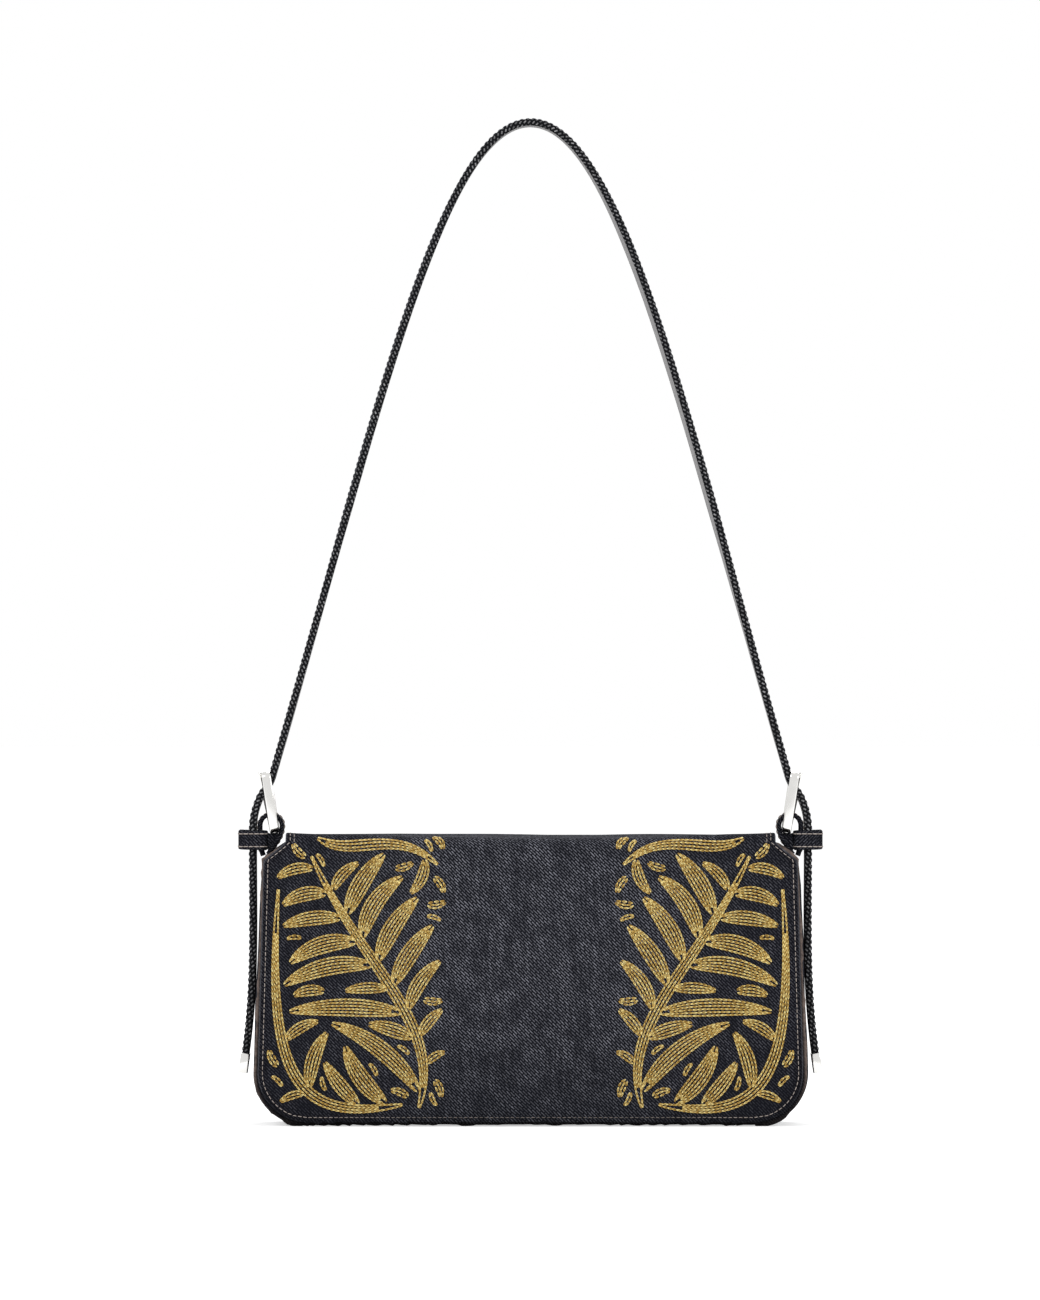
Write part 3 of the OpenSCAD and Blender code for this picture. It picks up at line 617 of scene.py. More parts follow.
back_turn_z, front_turn_z = BAG_H - BACK_R, BAG_H - FOLD_R
back_turn_y = back_y(back_turn_z) - BACK_R
front_turn_y = outer_y(front_turn_z) + FOLD_R
path = [(back_y(z), z) for z in np.linspace(REAR_Z, back_turn_z, REAR_COUNT)]
path += arc(back_turn_y, back_turn_z, BACK_R, 0, 90)[1:]
top_start = len(path) - 1
top_ys = np.linspace(back_turn_y, front_turn_y, TOP_COUNT)[1:-1]
mid_y, half_top = (back_turn_y + front_turn_y) / 2, (back_turn_y - front_turn_y) / 2
path += [(y, BAG_H - TOP_SAG * (1 - ((y - mid_y) / half_top) ** 2)) for y in top_ys]
top_end = len(path) - 1
path += arc(front_turn_y, front_turn_z, FOLD_R, 90, 180)
path += [(outer_y(z), z) for z in np.linspace(front_turn_z, FLAP_FOOT, 80)[1:]]
path = np.array(path)
way = run_lengths(path)
WAY = np.linspace(0, way[-1], 1200)
PATH_Y, PATH_Z = np.interp(WAY, way, path[:, 0]), np.interp(WAY, way, path[:, 1])
step_y, step_z = np.gradient(PATH_Y), np.gradient(PATH_Z)
step_l = np.hypot(step_y, step_z)
PATH_NY, PATH_NZ = step_z / step_l, -step_y / step_l
# The ways at which the top ends, the hanging front begins, the foot lies, and the top is at
# its middle, where the two parts of the flap meet
FOLD_WAY, END_WAY = way[top_end], WAY[-1]
on_top, in_front = (WAY > way[top_start]) & (WAY < FOLD_WAY), WAY > FOLD_WAY
FRONT_WAY = float(np.interp(-front_turn_z, -PATH_Z[in_front], WAY[in_front]))
SPLIT_WAY = float(np.interp(-mid_y, -PATH_Y[on_top], WAY[on_top]))


# %% [markdown]
# ## The flap's outline and face
# The flap has leaning sides, slanting shoulders and a neck between the tabs. Its face stands
# off the path by slow waves and a slight swell. Denim, stitches and embroidery all ask for
# their place through one function, so nothing floats and nothing sinks in.

# %% The flap's outline and face
def flap_half(s, inset=0.0):
    """Half width of the flap at way s: leaning sides, slanting shoulders and the narrow neck."""
    z = np.interp(s, WAY, PATH_Z)
    behind = np.interp(z, [GUSSET_Z, TOP_Z - 0.3], [float(half_width(GUSSET_Z)), NECK_X])
    behind = np.where(z < GUSSET_Z, half_width(z), behind)
    side = half_width(z, *FLAP_SIZE, inset)
    side_top = float(half_width(SHOULDER_Z, *FLAP_SIZE))
    shoulder = np.interp(z, [SHOULDER_Z, NECK_Z], [side_top, NECK_X]) - inset
    return np.where(s < SPLIT_WAY, behind - inset, np.where(z < SHOULDER_Z, side, shoulder))


def way_at(z):
    """Way along the path of height z on the hanging front."""
    return FRONT_WAY + (END_WAY - FRONT_WAY) * (front_turn_z - z) / (front_turn_z - FLAP_FOOT)


outline_ways = spaced(0, END_WAY, 1.5, False)
FLAP_OUTLINE = np.array([(-flap_half(s), s) for s in outline_ways]
                        + [(flap_half(s), s) for s in outline_ways[::-1]])


CROWN, SLOW_WAVE, PUCKER, SINK = 1.2, 0.75, 0.22, 0.25
CORNER_RISE, MIDDLE_SAG, RISE_HALF, RISE_REACH = 2.3, 0.9, 118, 24


def flap_soft(x, s, edge):
    """How far the denim stands off its path: slow waves, and puckers beside the hem."""
    hang = np.clip((s - FRONT_WAY + 8) / (END_WAY - FRONT_WAY + 8), 0, 1)
    crown = CROWN * np.sin(math.pi * hang) * (1 - (x / 128) ** 2)
    inland = np.clip((edge - 3) / 18, 0, 1) * np.clip(s / 20, 0, 1)
    slow = SLOW_WAVE * waves(x, s, 1, 55) * inland
    pucker = PUCKER * waves(x, s, 2, 4.5) * np.exp(-edge / 4) * (s > 16)
    return np.maximum(crown + slow, -SINK) + pucker


def flap_rise(x, s):
    """The top sags a little between its corners, which stand up where the flap is stiffest."""
    rise = CORNER_RISE * np.clip(abs(x) / RISE_HALF, 0, 1) ** 3 - MIDDLE_SAG
    return rise * np.exp(-((s - FOLD_WAY) / RISE_REACH) ** 2)


def flap_at(x, s, lift=0.0, soft=None):
    """Points (mm) and normals of the flap's outer face at X and way s, raised by lift."""
    x, s = np.broadcast_arrays(np.asarray(x, float), np.asarray(s, float))
    if soft is None:
        soft = flap_soft(x, s, edge_distance(np.stack([x, s], -1), FLAP_OUTLINE))
    ny, nz = np.interp(s, WAY, PATH_NY), np.interp(s, WAY, PATH_NZ)
    off = soft + lift + flap_rise(x, s)
    point = np.stack([x, np.interp(s, WAY, PATH_Y) + ny * off,
                      np.interp(s, WAY, PATH_Z) + nz * off], -1)
    return point, np.stack([0 * ny, ny, nz], -1)


print("flap path", round(END_WAY, 1), "mm; front fold at", round(FOLD_WAY, 1))

# %% [markdown]
# ## The flap's layers
# The flap is two cuts of cloth sewn together: denim outside and cotton inside, a little
# smaller. Each is drawn as a rear part and a hanging part that meet on the top, because the
# flap bends at two folds.

# %% Flap in denim and its lining
BACK_HINGE = dict(start=(0, 0.0262, 0.1335), end=(0, 0.0175, 0.1405))
FRONT_FOLD = dict(start=(0, -0.0200, 0.1380), end=(0, -0.0260, 0.1310))
HEM_SPREAD = 129
hem_steps = np.array([1 - d / HEM_SPREAD for d in EDGE_STEPS])
across = np.concatenate([-hem_steps[:-1], np.linspace(-hem_steps[-1], hem_steps[-1], 121),
                         hem_steps[:-1][::-1]])


def flap_sheet(name, ways, material, thick, lift=0.0, inset=0.0, still=False):
    """A layer of the flap over the given ways, hemmed where it meets the flap's outline."""
    s = np.repeat(ways[:, None], len(across), 1)
    x = across[None, :] * flap_half(s, inset)
    edge = edge_distance(np.stack([x, s], -1), FLAP_OUTLINE) - inset
    soft = 0.12 * waves(x, s, 5, 30) if still else None
    face = flap_at(x, s, lift, soft)[0]
    return cloth(name, face, np.stack([x, -REAR_Z - s], -1), thick, np.maximum(edge, 0),
                 material)


rear_ways = np.linspace(0, SPLIT_WAY, 40)
front_ways = np.concatenate([np.linspace(SPLIT_WAY, FRONT_WAY + 6, 34)[:-1],
                             spaced(FRONT_WAY + 6, END_WAY, 1.9, False)])
flap_rear = flap_sheet("flap_denim_back_fold_and_top", rear_ways, RAW_DENIM, FLAP_T)
flap_hang = flap_sheet("flap_denim_front", front_ways, RAW_DENIM, FLAP_T)
LINING_GAP = 1.3
rear_lining_ways = np.linspace(way[REAR_COUNT], SPLIT_WAY, 26)
flap_rear_lining = flap_sheet("flap_lining_top", rear_lining_ways, LINING, LINING_T,
                              -FLAP_T, LINING_GAP, True)
front_lining_ways = np.concatenate([np.linspace(SPLIT_WAY, FRONT_WAY + 6, 34)[:-1],
                                    spaced(FRONT_WAY + 6, END_WAY - LINING_GAP, 2.6, False)])
flap_hang_lining = flap_sheet("flap_lining_front", front_lining_ways, LINING, LINING_T,
                              -FLAP_T, LINING_GAP, True)
for piece, node, slot, hinge in ((flap_rear, "flap_top", "denim", BACK_HINGE),
                                 (flap_rear_lining, "flap_top_lining", "lining_cloth",
                                  BACK_HINGE),
                                 (flap_hang, "flap_front", "denim", FRONT_FOLD),
                                 (flap_hang_lining, "flap_front_lining", "lining_cloth",
                                  FRONT_FOLD)):
    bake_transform(piece)
    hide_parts(node)
    print(piece.name, len(piece.data.polygons), "faces")

# %% [markdown]
# ## Body panels, gussets and base
# Front and back are flat panels with leaning sides and round lower corners. One strip runs
# down one side, under the base and up the other. It is sewn edge to edge with the panels, so
# it curls in at both seams and swells a little between them, as an interlined gusset does.

# %% Front and back panels
MOUTH_SAG, SAG_H, SAG_HALF = 0.7, 14, 118


def panel(name, y_of, zs, sign, swell, seed, material, thick, half=panel_half, top_hem=True):
    """A flat panel at y_of(z), outward along sign * Y, with a hem round its outline."""
    left = np.array([(-half(z), z) for z in np.sort(zs)[::-1]])
    outline = np.concatenate([left, left[::-1] * (-1, 1)])
    z = np.repeat(zs[:, None], len(across), 1)
    x = across[None, :] * half(z)
    flat = np.stack([x, z], -1)
    edge = edge_distance(flat, outline)
    if top_hem:
        edge = np.minimum(edge, abs(zs.max() - z))
    falloff = np.clip(edge / 16, 0, 1) * np.clip((zs.max() - z) / 10, 0, 1)
    off = swell * falloff * (0.6 + 0.6 * waves(x, z, seed, 50))
    off = off + 0.09 * waves(x, z, seed + 1, 4.5) * np.exp(-edge / 4) * (falloff > 0)
    mouth = (np.clip((z - RIM_Z + SAG_H) / SAG_H, 0, 1) ** 2
             * (1 - np.clip(abs(x) / SAG_HALF, 0, 1) ** 3))
    face = np.stack([x, y_of(z) + sign * off, z - MOUTH_SAG * mouth * top_hem], -1)
    return cloth(name, face, np.stack([x, z if sign < 0 else -z], -1), thick, edge, material)


front_panel = panel("front_panel_denim", front_y, spaced(0, RIM_Z, 2.2)[::-1], -1, 0.25, 11,
                    BODY_DENIM, SHELL_T)
back_panel = panel("back_panel_denim", back_y, spaced(0, REAR_Z, 2.2, True, False), 1, 1.1,
                   13, RAW_DENIM, SHELL_T, top_hem=False)
for piece, node in ((front_panel, "front_panel"), (back_panel, "back_panel")):
    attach(piece, "bag")
    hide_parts(node)
    print(piece.name, len(piece.data.polygons), "faces")

# %% [markdown]
# ## Gussets and base
# The gussets and the base of such a bag are narrow cuts sewn to both panels. Here they are
# three stretches of one path round the body, so their ends meet exactly. A strip is placed by
# its way along that path and by its share of the depth, and swells between its two seams.

# %% Gussets and base
def u_path(inset, step=2.0):
    """Points down the right side, under the base and up the left side, inset from the outline,
    with outward normals."""
    tilt = side_tilt()
    r, cx, cz = CORNER_R - inset, BAG_W / 2 - CORNER_R, CORNER_R
    zs = spaced(cz + r * math.sin(tilt), GUSSET_Z, step, False)[::-1]
    side = [(float(half_width(z, inset=inset)), z, math.cos(tilt), math.sin(tilt)) for z in zs]
    turn = [(cx + r * math.cos(q), cz + r * math.sin(q), math.cos(q), math.sin(q))
            for q in np.linspace(tilt, -math.pi / 2, 26)[1:]]
    right = side + turn
    base = [(x, inset, 0, -1) for x in np.linspace(cx, -cx, 90)[1:-1]]
    left = [(-x, z, -nx, nz) for x, z, nx, nz in right[::-1]]
    return np.array(right + base + left), len(right)


STRIP_W, SWELL_FROM_TOP, CURL_REACH = 50, 14, 1.7


def u_strip(name, inset, seam, rows, thick, bulge, curl, material, hem_ends, seed):
    """Cloth along part of the U path, from the front seam to the back seam."""
    points, _ = u_path(inset)
    points = points[rows]
    steps = run_lengths(points[:, :2])
    near_seam = 2 * np.array(EDGE_STEPS) / STRIP_W
    v = np.concatenate([near_seam - 1, np.linspace(-0.75, 0.75, 19), 1 - near_seam[::-1]])
    x, z, nx, nz = (np.repeat(points[:, i, None], len(v), 1) for i in range(4))
    half_d = BODY_D / 2 - DEPTH_TAPER / 2 * z / BAG_H - seam
    y = BODY_Y + v[None, :] * half_d
    to_seam = half_d * (1 - abs(v[None, :]))
    edge = to_seam.copy()
    along = np.repeat(steps[:, None], len(v), 1)
    for wanted, gap in zip(hem_ends, (along, along[-1] - along)):
        if wanted:
            edge = np.minimum(edge, gap)
    side = 1 - np.clip(-nz, 0, 1) ** 2
    top = np.clip((GUSSET_Z - z) / SWELL_FROM_TOP, 0, 1)
    off = bulge * side * top * (1 - v[None, :] ** 2) * (1 + 0.5 * waves(y, along, seed, 30))
    off = off + 0.15 * waves(y, along, seed + 1, 4.5) * np.exp(-to_seam / 3) * side
    off = off - curl * np.exp(-(to_seam / CURL_REACH) ** 2)
    face = np.stack([x + nx * off, y, np.maximum(z + nz * off, z * 0)], -1)
    return cloth(name, face, np.stack([y, -along], -1), thick, edge, material)


def three_cuts(inset):
    """Rows of the U path that belong to the right side, the base and the left side."""
    points, rows = u_path(inset)
    count = len(points)
    return slice(0, rows), slice(rows - 1, count - rows + 1), slice(count - rows, count)


strips = (("gusset_right_denim", "gusset_right", (True, False), 21),
          ("base_denim", "base_panel", (False, False), 22),
          ("gusset_left_denim", "gusset_left", (False, True), 23))
for (name, node, ends, seed), rows in zip(strips, three_cuts(0)):
    piece = u_strip(name, 0, SHELL_T - 0.25, rows, SHELL_T, 0.9, 0.9, BODY_DENIM, ends, seed)
    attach(piece, "bag")
    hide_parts(node)
    print(name, len(piece.data.polygons), "faces")

# %% [markdown]
# ## The inside
# When the flap lifts, a cloth lining shows below a denim facing that strengthens the mouth,
# with a slip pocket on the back. The lining hangs loose, so it gets small folds.

# %% Linings, facings and pocket
def inner_half(z):
    return half_width(z, inset=LINING_IN)


def facing_half(z):
    return panel_half(z, inset=LINING_IN + LINING_T + 0.3)


FACING_FOOT, FACING_T, POCKET = RIM_Z - 22, 1.2, (150, 30, 108)
lining_zs = spaced(LINING_IN, FACING_FOOT, 3.0)
facing_zs = spaced(FACING_FOOT, RIM_Z, 2.0)
pocket_zs = spaced(POCKET[1], POCKET[2], 3.0)
inside = [
    ("lining_front_cloth", "lining_front", lambda z: front_y(z) + LAYER_IN + LINING_T,
     lining_zs, 1, inner_half, LINING, LINING_T, 0.5),
    ("lining_back_cloth", "lining_back", lambda z: back_y(z) - LAYER_IN - LINING_T,
     lining_zs[::-1], -1, inner_half, LINING, LINING_T, 0.5),
    ("facing_front_denim", "facing_front", lambda z: front_y(z) + LAYER_IN + FACING_T,
     facing_zs, 1, facing_half, RAW_DENIM, FACING_T, 0.15),
    ("facing_back_denim", "facing_back", lambda z: back_y(z) - LAYER_IN - FACING_T,
     facing_zs[::-1], -1, facing_half, RAW_DENIM, FACING_T, 0.15),
    ("slip_pocket_cloth", "slip_pocket",
     lambda z: back_y(z) - LAYER_IN - 2 * LINING_T - 0.5, pocket_zs[::-1], -1,
     lambda z: 0 * z + POCKET[0] / 2, LINING, LINING_T, 0.7),
]
for i, (name, node, y_of, zs, sign, half, material, thick, swell) in enumerate(inside):
    piece = panel(name, y_of, zs, sign, swell, 31 + 2 * i, material, thick, half)
    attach(piece, "bag")
    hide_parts(node)

for (name, node, ends), rows in zip((("lining_right_cloth", "lining_right", (True, False)),
                                     ("lining_base_cloth", "lining_base", (False, False)),
                                     ("lining_left_cloth", "lining_left", (False, True))),
                                    three_cuts(LINING_IN)):
    piece = u_strip(name, LINING_IN, LAYER_IN + LINING_T, rows, LINING_T, -0.8, 0.0, LINING,
                    ends, 41)
    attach(piece, "bag")
    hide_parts(node)
for name, material, slot in (("base_board", board, "board"),
                             ("snap_socket", SNAP_METAL, "polished_metal"),
                             ("snap_stud", SNAP_METAL, "polished_metal"),
                             ("snap_socket_washer", STEEL, "washer_steel"),
                             ("snap_stud_washer", STEEL, "washer_steel")):
    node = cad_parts[name]
    node.data.materials.clear()
    node.data.materials.append(material)

# %% [markdown]
# ## The strap's way
# The strap is one band: over the top in a high arch, down to each buckle, out through the
# frame, down past the tab through the keeper, and on as a hanging tail. The same cubic curves
# as in the CAD source carry it, so each stretch lies where its solid lies.

# %% Curves of the strap
def cubic(points, count):
    t = np.linspace(0, 1, count)[:, None]
    p = np.array(points, float)
    return ((1 - t) ** 3 * p[0] + 3 * (1 - t) ** 2 * t * p[1] + 3 * (1 - t) * t * t * p[2]
            + t ** 3 * p[3])


def turned(angle_deg):
    """Unit vector of a leg that leans by the angle, pointing down and outward."""
    return np.array([math.sin(math.radians(angle_deg)), -math.cos(math.radians(angle_deg))])


STRAP_W, STRAP_T, STRAP_TOP, LEG_ANGLE = 19, 3.3, 488, 16.2
BUCKLE_L, BUCKLE_T, BUCKLE_LEAN, BAR_D, BAR_OUT = 30, 4.4, 8.3, 3, 0.6
PRONG_D, EYE_D, EYE_W, HOLE_D, HOLE_PITCH = 2.2, 5, 2.8, 3.2, 18
TAB_X, TAB_Z, TAB_R, TAB_T = MOUTH_W / 2 - 3.3, BAG_H + 4.4, 4.35, 2.1
BAR_UP = (BUCKLE_L - BAR_D) / 2 - 0.2
BUCKLE_AT = np.array([TAB_X + 0.2, BAG_H + 15.8])
lean = math.radians(BUCKLE_LEAN)
FRAME_OUT, FRAME_UP = (np.array([math.cos(lean), -math.sin(lean)]),
                       np.array([math.sin(lean), math.cos(lean)]))
leg_side = np.array([math.cos(math.radians(LEG_ANGLE)), math.sin(math.radians(LEG_ANGLE))])
bar_side = (BUCKLE_AT + BAR_OUT * FRAME_OUT + BAR_UP * FRAME_UP
            - (BAR_D / 2 + 0.3 + STRAP_T / 2) * leg_side)
crossed = BUCKLE_AT + 5.2 * FRAME_OUT + 2.2 * FRAME_UP
TAIL_X = TAB_X + TAB_R + TAB_T + 0.6 + STRAP_T / 2
KEEPER_Z, TAIL_Z = BAG_H - 7.1, BAG_H - 7.7
tail_foot = np.array([BAG_W / 2 + 4.4, 34])
leg_way, cross_way, tip_way = turned(LEG_ANGLE), turned(LEG_ANGLE + 6), turned(8)
top_z = STRAP_TOP - STRAP_T / 2
arch_right = cubic([(0, top_z), (43.5, top_z), bar_side - 180 * leg_way, bar_side], 140)
arch = np.concatenate([(arch_right * (-1, 1))[:0:-1], arch_right])
crossing = cubic([bar_side, bar_side + 4.5 * leg_way, crossed - 4.5 * cross_way, crossed], 12)
turn = cubic([crossed, crossed + 5 * cross_way, (TAIL_X, BAG_H + 8), (TAIL_X, BAG_H + 2.8)], 14)
end_line = np.concatenate([crossing, turn[1:], [(TAIL_X, z) for z in
                                                np.linspace(BAG_H + 1, TAIL_Z + 0.1, 8)]])
fall = cubic([(TAIL_X, TAIL_Z), (TAIL_X, TAIL_Z - 34), tail_foot - 34 * tip_way, tail_foot], 60)
tail_line = np.concatenate([fall, [tail_foot + d * tip_way for d in (3, 6, 8.6)]])
print("arch", round(float(np.linalg.norm(np.diff(arch, axis=0), axis=1).sum())), "mm long")

# %% [markdown]
# ## Solid shapes
# Hard pieces, and the cutters for holes, start as a block or a round bar at their size and
# place. Modifiers then cut, join and bevel them and are applied at once, so each piece ends
# as a plain mesh with its place in it.

# %% Helpers for solid shapes
def mm_block(size, place=(0, 0, 0)):
    bpy.ops.object.select_all(action="DESELECT")
    bpy.ops.mesh.primitive_cube_add(size=1, location=[c * MM for c in place],
                                    scale=[c * MM for c in size])
    bpy.ops.object.transform_apply(location=True, rotation=False, scale=True)
    return bpy.context.object


def mm_rod(diameter, length, place, turn=(0, 0, 0), top=None, sides=32):
    """A round bar, or a tapered one where top gives the diameter of its upper end."""
    bpy.ops.object.select_all(action="DESELECT")
    bpy.ops.mesh.primitive_cone_add(
        vertices=sides, radius1=diameter / 2 * MM, radius2=(top or diameter) / 2 * MM,
        depth=length * MM, location=[c * MM for c in place],
        rotation=[math.radians(c) for c in turn])
    bpy.ops.object.transform_apply(location=True, rotation=True, scale=True)
    return bpy.context.object


def applied(o, kind, **settings):
    """Adds a modifier to o with the given settings and applies it."""
    change = o.modifiers.new(kind, kind)
    for key, value in settings.items():
        setattr(change, key, value)
    bpy.context.view_layer.objects.active = o
    bpy.ops.object.modifier_apply(modifier=change.name)


def merged(o, other, how="UNION"):
    """Joins other to o, or cuts it out of o, and returns o."""
    applied(o, "BOOLEAN", object=other, operation=how, solver="EXACT")
    bpy.data.objects.remove(other)
    return o


# %% [markdown]
# ## Bands
# A strap is folded from one cut of denim: both edges are turned in and the lining closes the
# gap. Drawn, it is one flat section carried along a line, with a direction across and one
# outward at every point, so straps, tabs and keepers all come from the same function.

# %% A band drawn along a line
def band(name, centres, wide, out, section, material, closed=False, hem=30.0):
    """Draws a closed section (across, outward) in mm along centres (n, 3)."""
    section = np.asarray(section, float)
    grid = centres[:, None] + section[:, :1] * wide[:, None] + section[:, 1:] * out[:, None]
    rows, cols = grid.shape[:2]
    round_it = run_lengths(np.concatenate([section, section[:1]]))
    along = run_lengths(centres)
    faces, uvs, verts = [], [], grid.reshape(-1, 3)
    last = rows if closed else rows - 1
    if closed:
        along = np.append(along, along[-1] + np.linalg.norm(centres[0] - centres[-1]))
    for i in range(last):
        for j in range(cols):
            k, m = (i + 1) % rows, (j + 1) % cols
            faces.append((i * cols + j, i * cols + m, k * cols + m, k * cols + j))
            uvs.append([(round_it[j], along[i]), (round_it[j + 1], along[i]),
                        (round_it[j + 1], along[i + 1]), (round_it[j], along[i + 1])])
    if not closed:
        for i, order in ((0, range(cols - 1, -1, -1)), (rows - 1, range(cols))):
            faces.append([i * cols + j for j in order])
            uvs.append([tuple(section[j]) for j in order])
    o, mesh = new_mesh(name, verts, faces, material, hem=np.full(len(verts), hem))
    layer = mesh.uv_layers.new(name="cloth")
    layer.data.foreach_set("uv", np.array([q for f in uvs for q in f], np.float32).ravel())
    outward(mesh)
    smooth(o, 50)
    return o


# %% [markdown]
# ## Sections of the strap
# The denim is turned in at both sides and leaves a bay for the lining on the inside, so it has
# a section of its own, and the lining another that fills the bay and crowns a little.

# %% Sections and lines of the strap
def rounded_section(width, height, r, steps=4, y_steps=6):
    """Section of a flat band with soft edges, points (across, outward) anticlockwise."""
    w, h = width / 2 - r, height / 2 - r
    points = []
    for cx, cy, start in ((w, -h, -90), (w, h, 0), (-w, h, 90), (-w, -h, 180)):
        points += [(cx + r * math.cos(q), cy + r * math.sin(q))
                   for q in np.radians(np.linspace(start, start + 90, steps))]
    out = []
    for a, b in zip(points, points[1:] + points[:1]):
        out.append(a)
        if abs(a[0] - b[0]) > width / 3:
            out += [(a[0] + (b[0] - a[0]) * t, a[1]) for t in np.linspace(0, 1, y_steps + 1)[1:-1]]
    return out


def upright(line, sign=1.0, twist=0.0):
    """Centres, across (Y) and outward vectors of a line in XZ, mirrored where sign is -1. The
    vectors are turned about the line by the twist, one angle or one for every point."""
    line = np.asarray(line, float) * (sign, 1)
    d = np.gradient(line, axis=0)
    d /= np.linalg.norm(d, axis=1, keepdims=True)
    out = np.stack([-d[:, 1], 0 * d[:, 0], d[:, 0]], 1) * sign
    centres = np.stack([line[:, 0], np.full(len(line), BODY_Y), line[:, 1]], 1)
    wide, twist = np.array([0.0, 1.0, 0.0]), np.broadcast_to(twist, len(line))[:, None]
    return (centres, wide * np.cos(twist) + out * np.sin(twist),
            out * np.cos(twist) - wide * np.sin(twist))


LIP, LIP_T, STRAP_LINING_T = 1.2, 0.9, 0.9
half_w, half_t = STRAP_W / 2, STRAP_T / 2
soft_r = 1.15


def strap_section():
    """Denim turned in at both sides of the strap, with the lining's place left open."""
    points = []
    for cx, cy, start in ((half_w - soft_r, half_t - soft_r, 0),
                          (-half_w + soft_r, half_t - soft_r, 90)):
        points += [(cx + soft_r * math.cos(q), cy + soft_r * math.sin(q))
                   for q in np.radians(np.linspace(start, start + 90, 5))]
        if start == 0:
            points += [(x, half_t + 0.12 * (1 - (x / half_w) ** 2)) for x in (5, 2, -2, -5)]
    lip = half_w - LIP
    points += [(-half_w, -0.6), (-half_w + 0.12, -1.2), (-half_w + 0.5, -half_t),
               (-lip - 0.15, -half_t), (-lip, -half_t + 0.2), (-lip, -half_t + LIP_T),
               (-3, -half_t + LIP_T), (3, -half_t + LIP_T), (lip, -half_t + LIP_T),
               (lip, -half_t + 0.2), (lip + 0.15, -half_t), (half_w - 0.5, -half_t),
               (half_w - 0.12, -1.2), (half_w, -0.6)]
    return points


def inner_section():
    """The lining in its place, a little crowned towards the inside."""
    half, r = half_w - LIP - 0.08, 0.3
    flat = rounded_section(2 * half, STRAP_LINING_T, r)
    return [(y, n - half_t + STRAP_LINING_T / 2 - 0.1 * (1 - (y / half) ** 2)) for y, n in flat]


def punch(piece, places, depth=8):
    """Cuts round holes through a band at (x, z, angle of the strap's lean)."""
    for x, z, angle in places:
        merged(piece, mm_rod(HOLE_D, depth, (x, BODY_Y, z), (0, angle, 0), sides=24),
               "DIFFERENCE")


# %% [markdown]
# ## Strap, ends and tails
# A standing strap turns a little about its own length, so its inner face shows near the top.
# The arch rides on the strap's body. The short ends run between buckle and keeper, and the
# tails hang below the keepers. Holes are punched for the prong.

# %% Strap, ends and tails
TWIST, TWIST_FROM, TWIST_RISE, TWIST_END = math.radians(4.5), 190, 110, 60
LEFT_SHARE = 0.6
heights = arch[:, 1]
arch_twist = -TWIST * np.clip((heights - TWIST_FROM) / TWIST_RISE, 0, 1) ** 2 * np.sign(
    arch[:, 0]) * np.clip((STRAP_TOP - heights) / TWIST_END, 0, 1)
arch_twist = arch_twist * np.where(arch[:, 0] > 0, 1.0, LEFT_SHARE)
spots = [tuple(bar_side - i * HOLE_PITCH * leg_way) for i in (1, 2)]
arch_holes = [(s * x, z, s * (90 - LEG_ANGLE)) for x, z in spots for s in (1, -1)]
tail_holes = [(TAIL_X, TAIL_Z - HOLE_PITCH * i, 90) for i in (1, 2)]
for name, section, material, node, slot in (
        ("strap_denim", strap_section(), STRAP_DENIM, "strap", "denim"),
        ("strap_lining_cloth", inner_section(), STRAP_LINING, "strap_lining",
         "strap_lining_cloth")):
    piece = band(name, *upright(arch, twist=arch_twist), section, material)
    punch(piece, arch_holes)
    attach(piece, "strap")
    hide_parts(node)
    print(name, len(piece.data.polygons), "faces")


def bend_over(start_z, end_z):
    """A stretch in metres, upright in the strap's plane."""
    return dict(start=(0, BODY_Y * MM, start_z), end=(0, BODY_Y * MM, end_z))


# Between keeper and buckle, from the gusset's top to the heel bar, and below the keeper
STRAP_BEND, TAB_BEND, TAIL_BEND = (bend_over(0.1375, 0.1520), bend_over(0.1335, 0.1430),
                                   bend_over(0.1322, 0.1270))
foot_out, head_out = EYE_D / 2 - PRONG_D / 2, BAR_OUT + BAR_D / 2 + 0.1 + PRONG_D / 2
head_up, SHANK_HOLE = BAR_UP + PRONG_D / 2, 34
shank_foot = BUCKLE_AT - BAR_UP * FRAME_UP + foot_out * FRAME_OUT
shank_head = BUCKLE_AT + head_out * FRAME_OUT + head_up * FRAME_UP
prong_lean = math.degrees(math.atan2(*(shank_head - shank_foot)))
prong_mid = (shank_foot + shank_head) / 2
for sign, side in SIDES:
    for node, line in (("strap_end", end_line), ("tail", tail_line),
                       ("strap_end_lining", end_line), ("tail_lining", tail_line)):
        lined = node.endswith("lining")
        piece = band(f"{node}_cloth_{side}", *upright(line, sign),
                     inner_section() if lined else strap_section(),
                     STRAP_LINING if lined else STRAP_DENIM)
        if line is end_line:
            punch(piece, [(sign * prong_mid[0], prong_mid[1], sign * prong_lean)], SHANK_HOLE)
            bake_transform(piece)
        else:
            punch(piece, [(sign * x, z, a) for x, z, a in tail_holes])
            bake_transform(piece)
        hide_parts(f"{node}_{side}")
        print(piece.name, len(piece.data.polygons), "faces")

# %% [markdown]
# ## Tabs
# Each tab is a strip of denim folded round the buckle's heel bar. Its two legs meet on top of
# the gusset, where they are caught in the seam, and a slot in the fold lets the prong's eye
# turn on the bar. It is drawn as a band that goes up, round the bar and down.

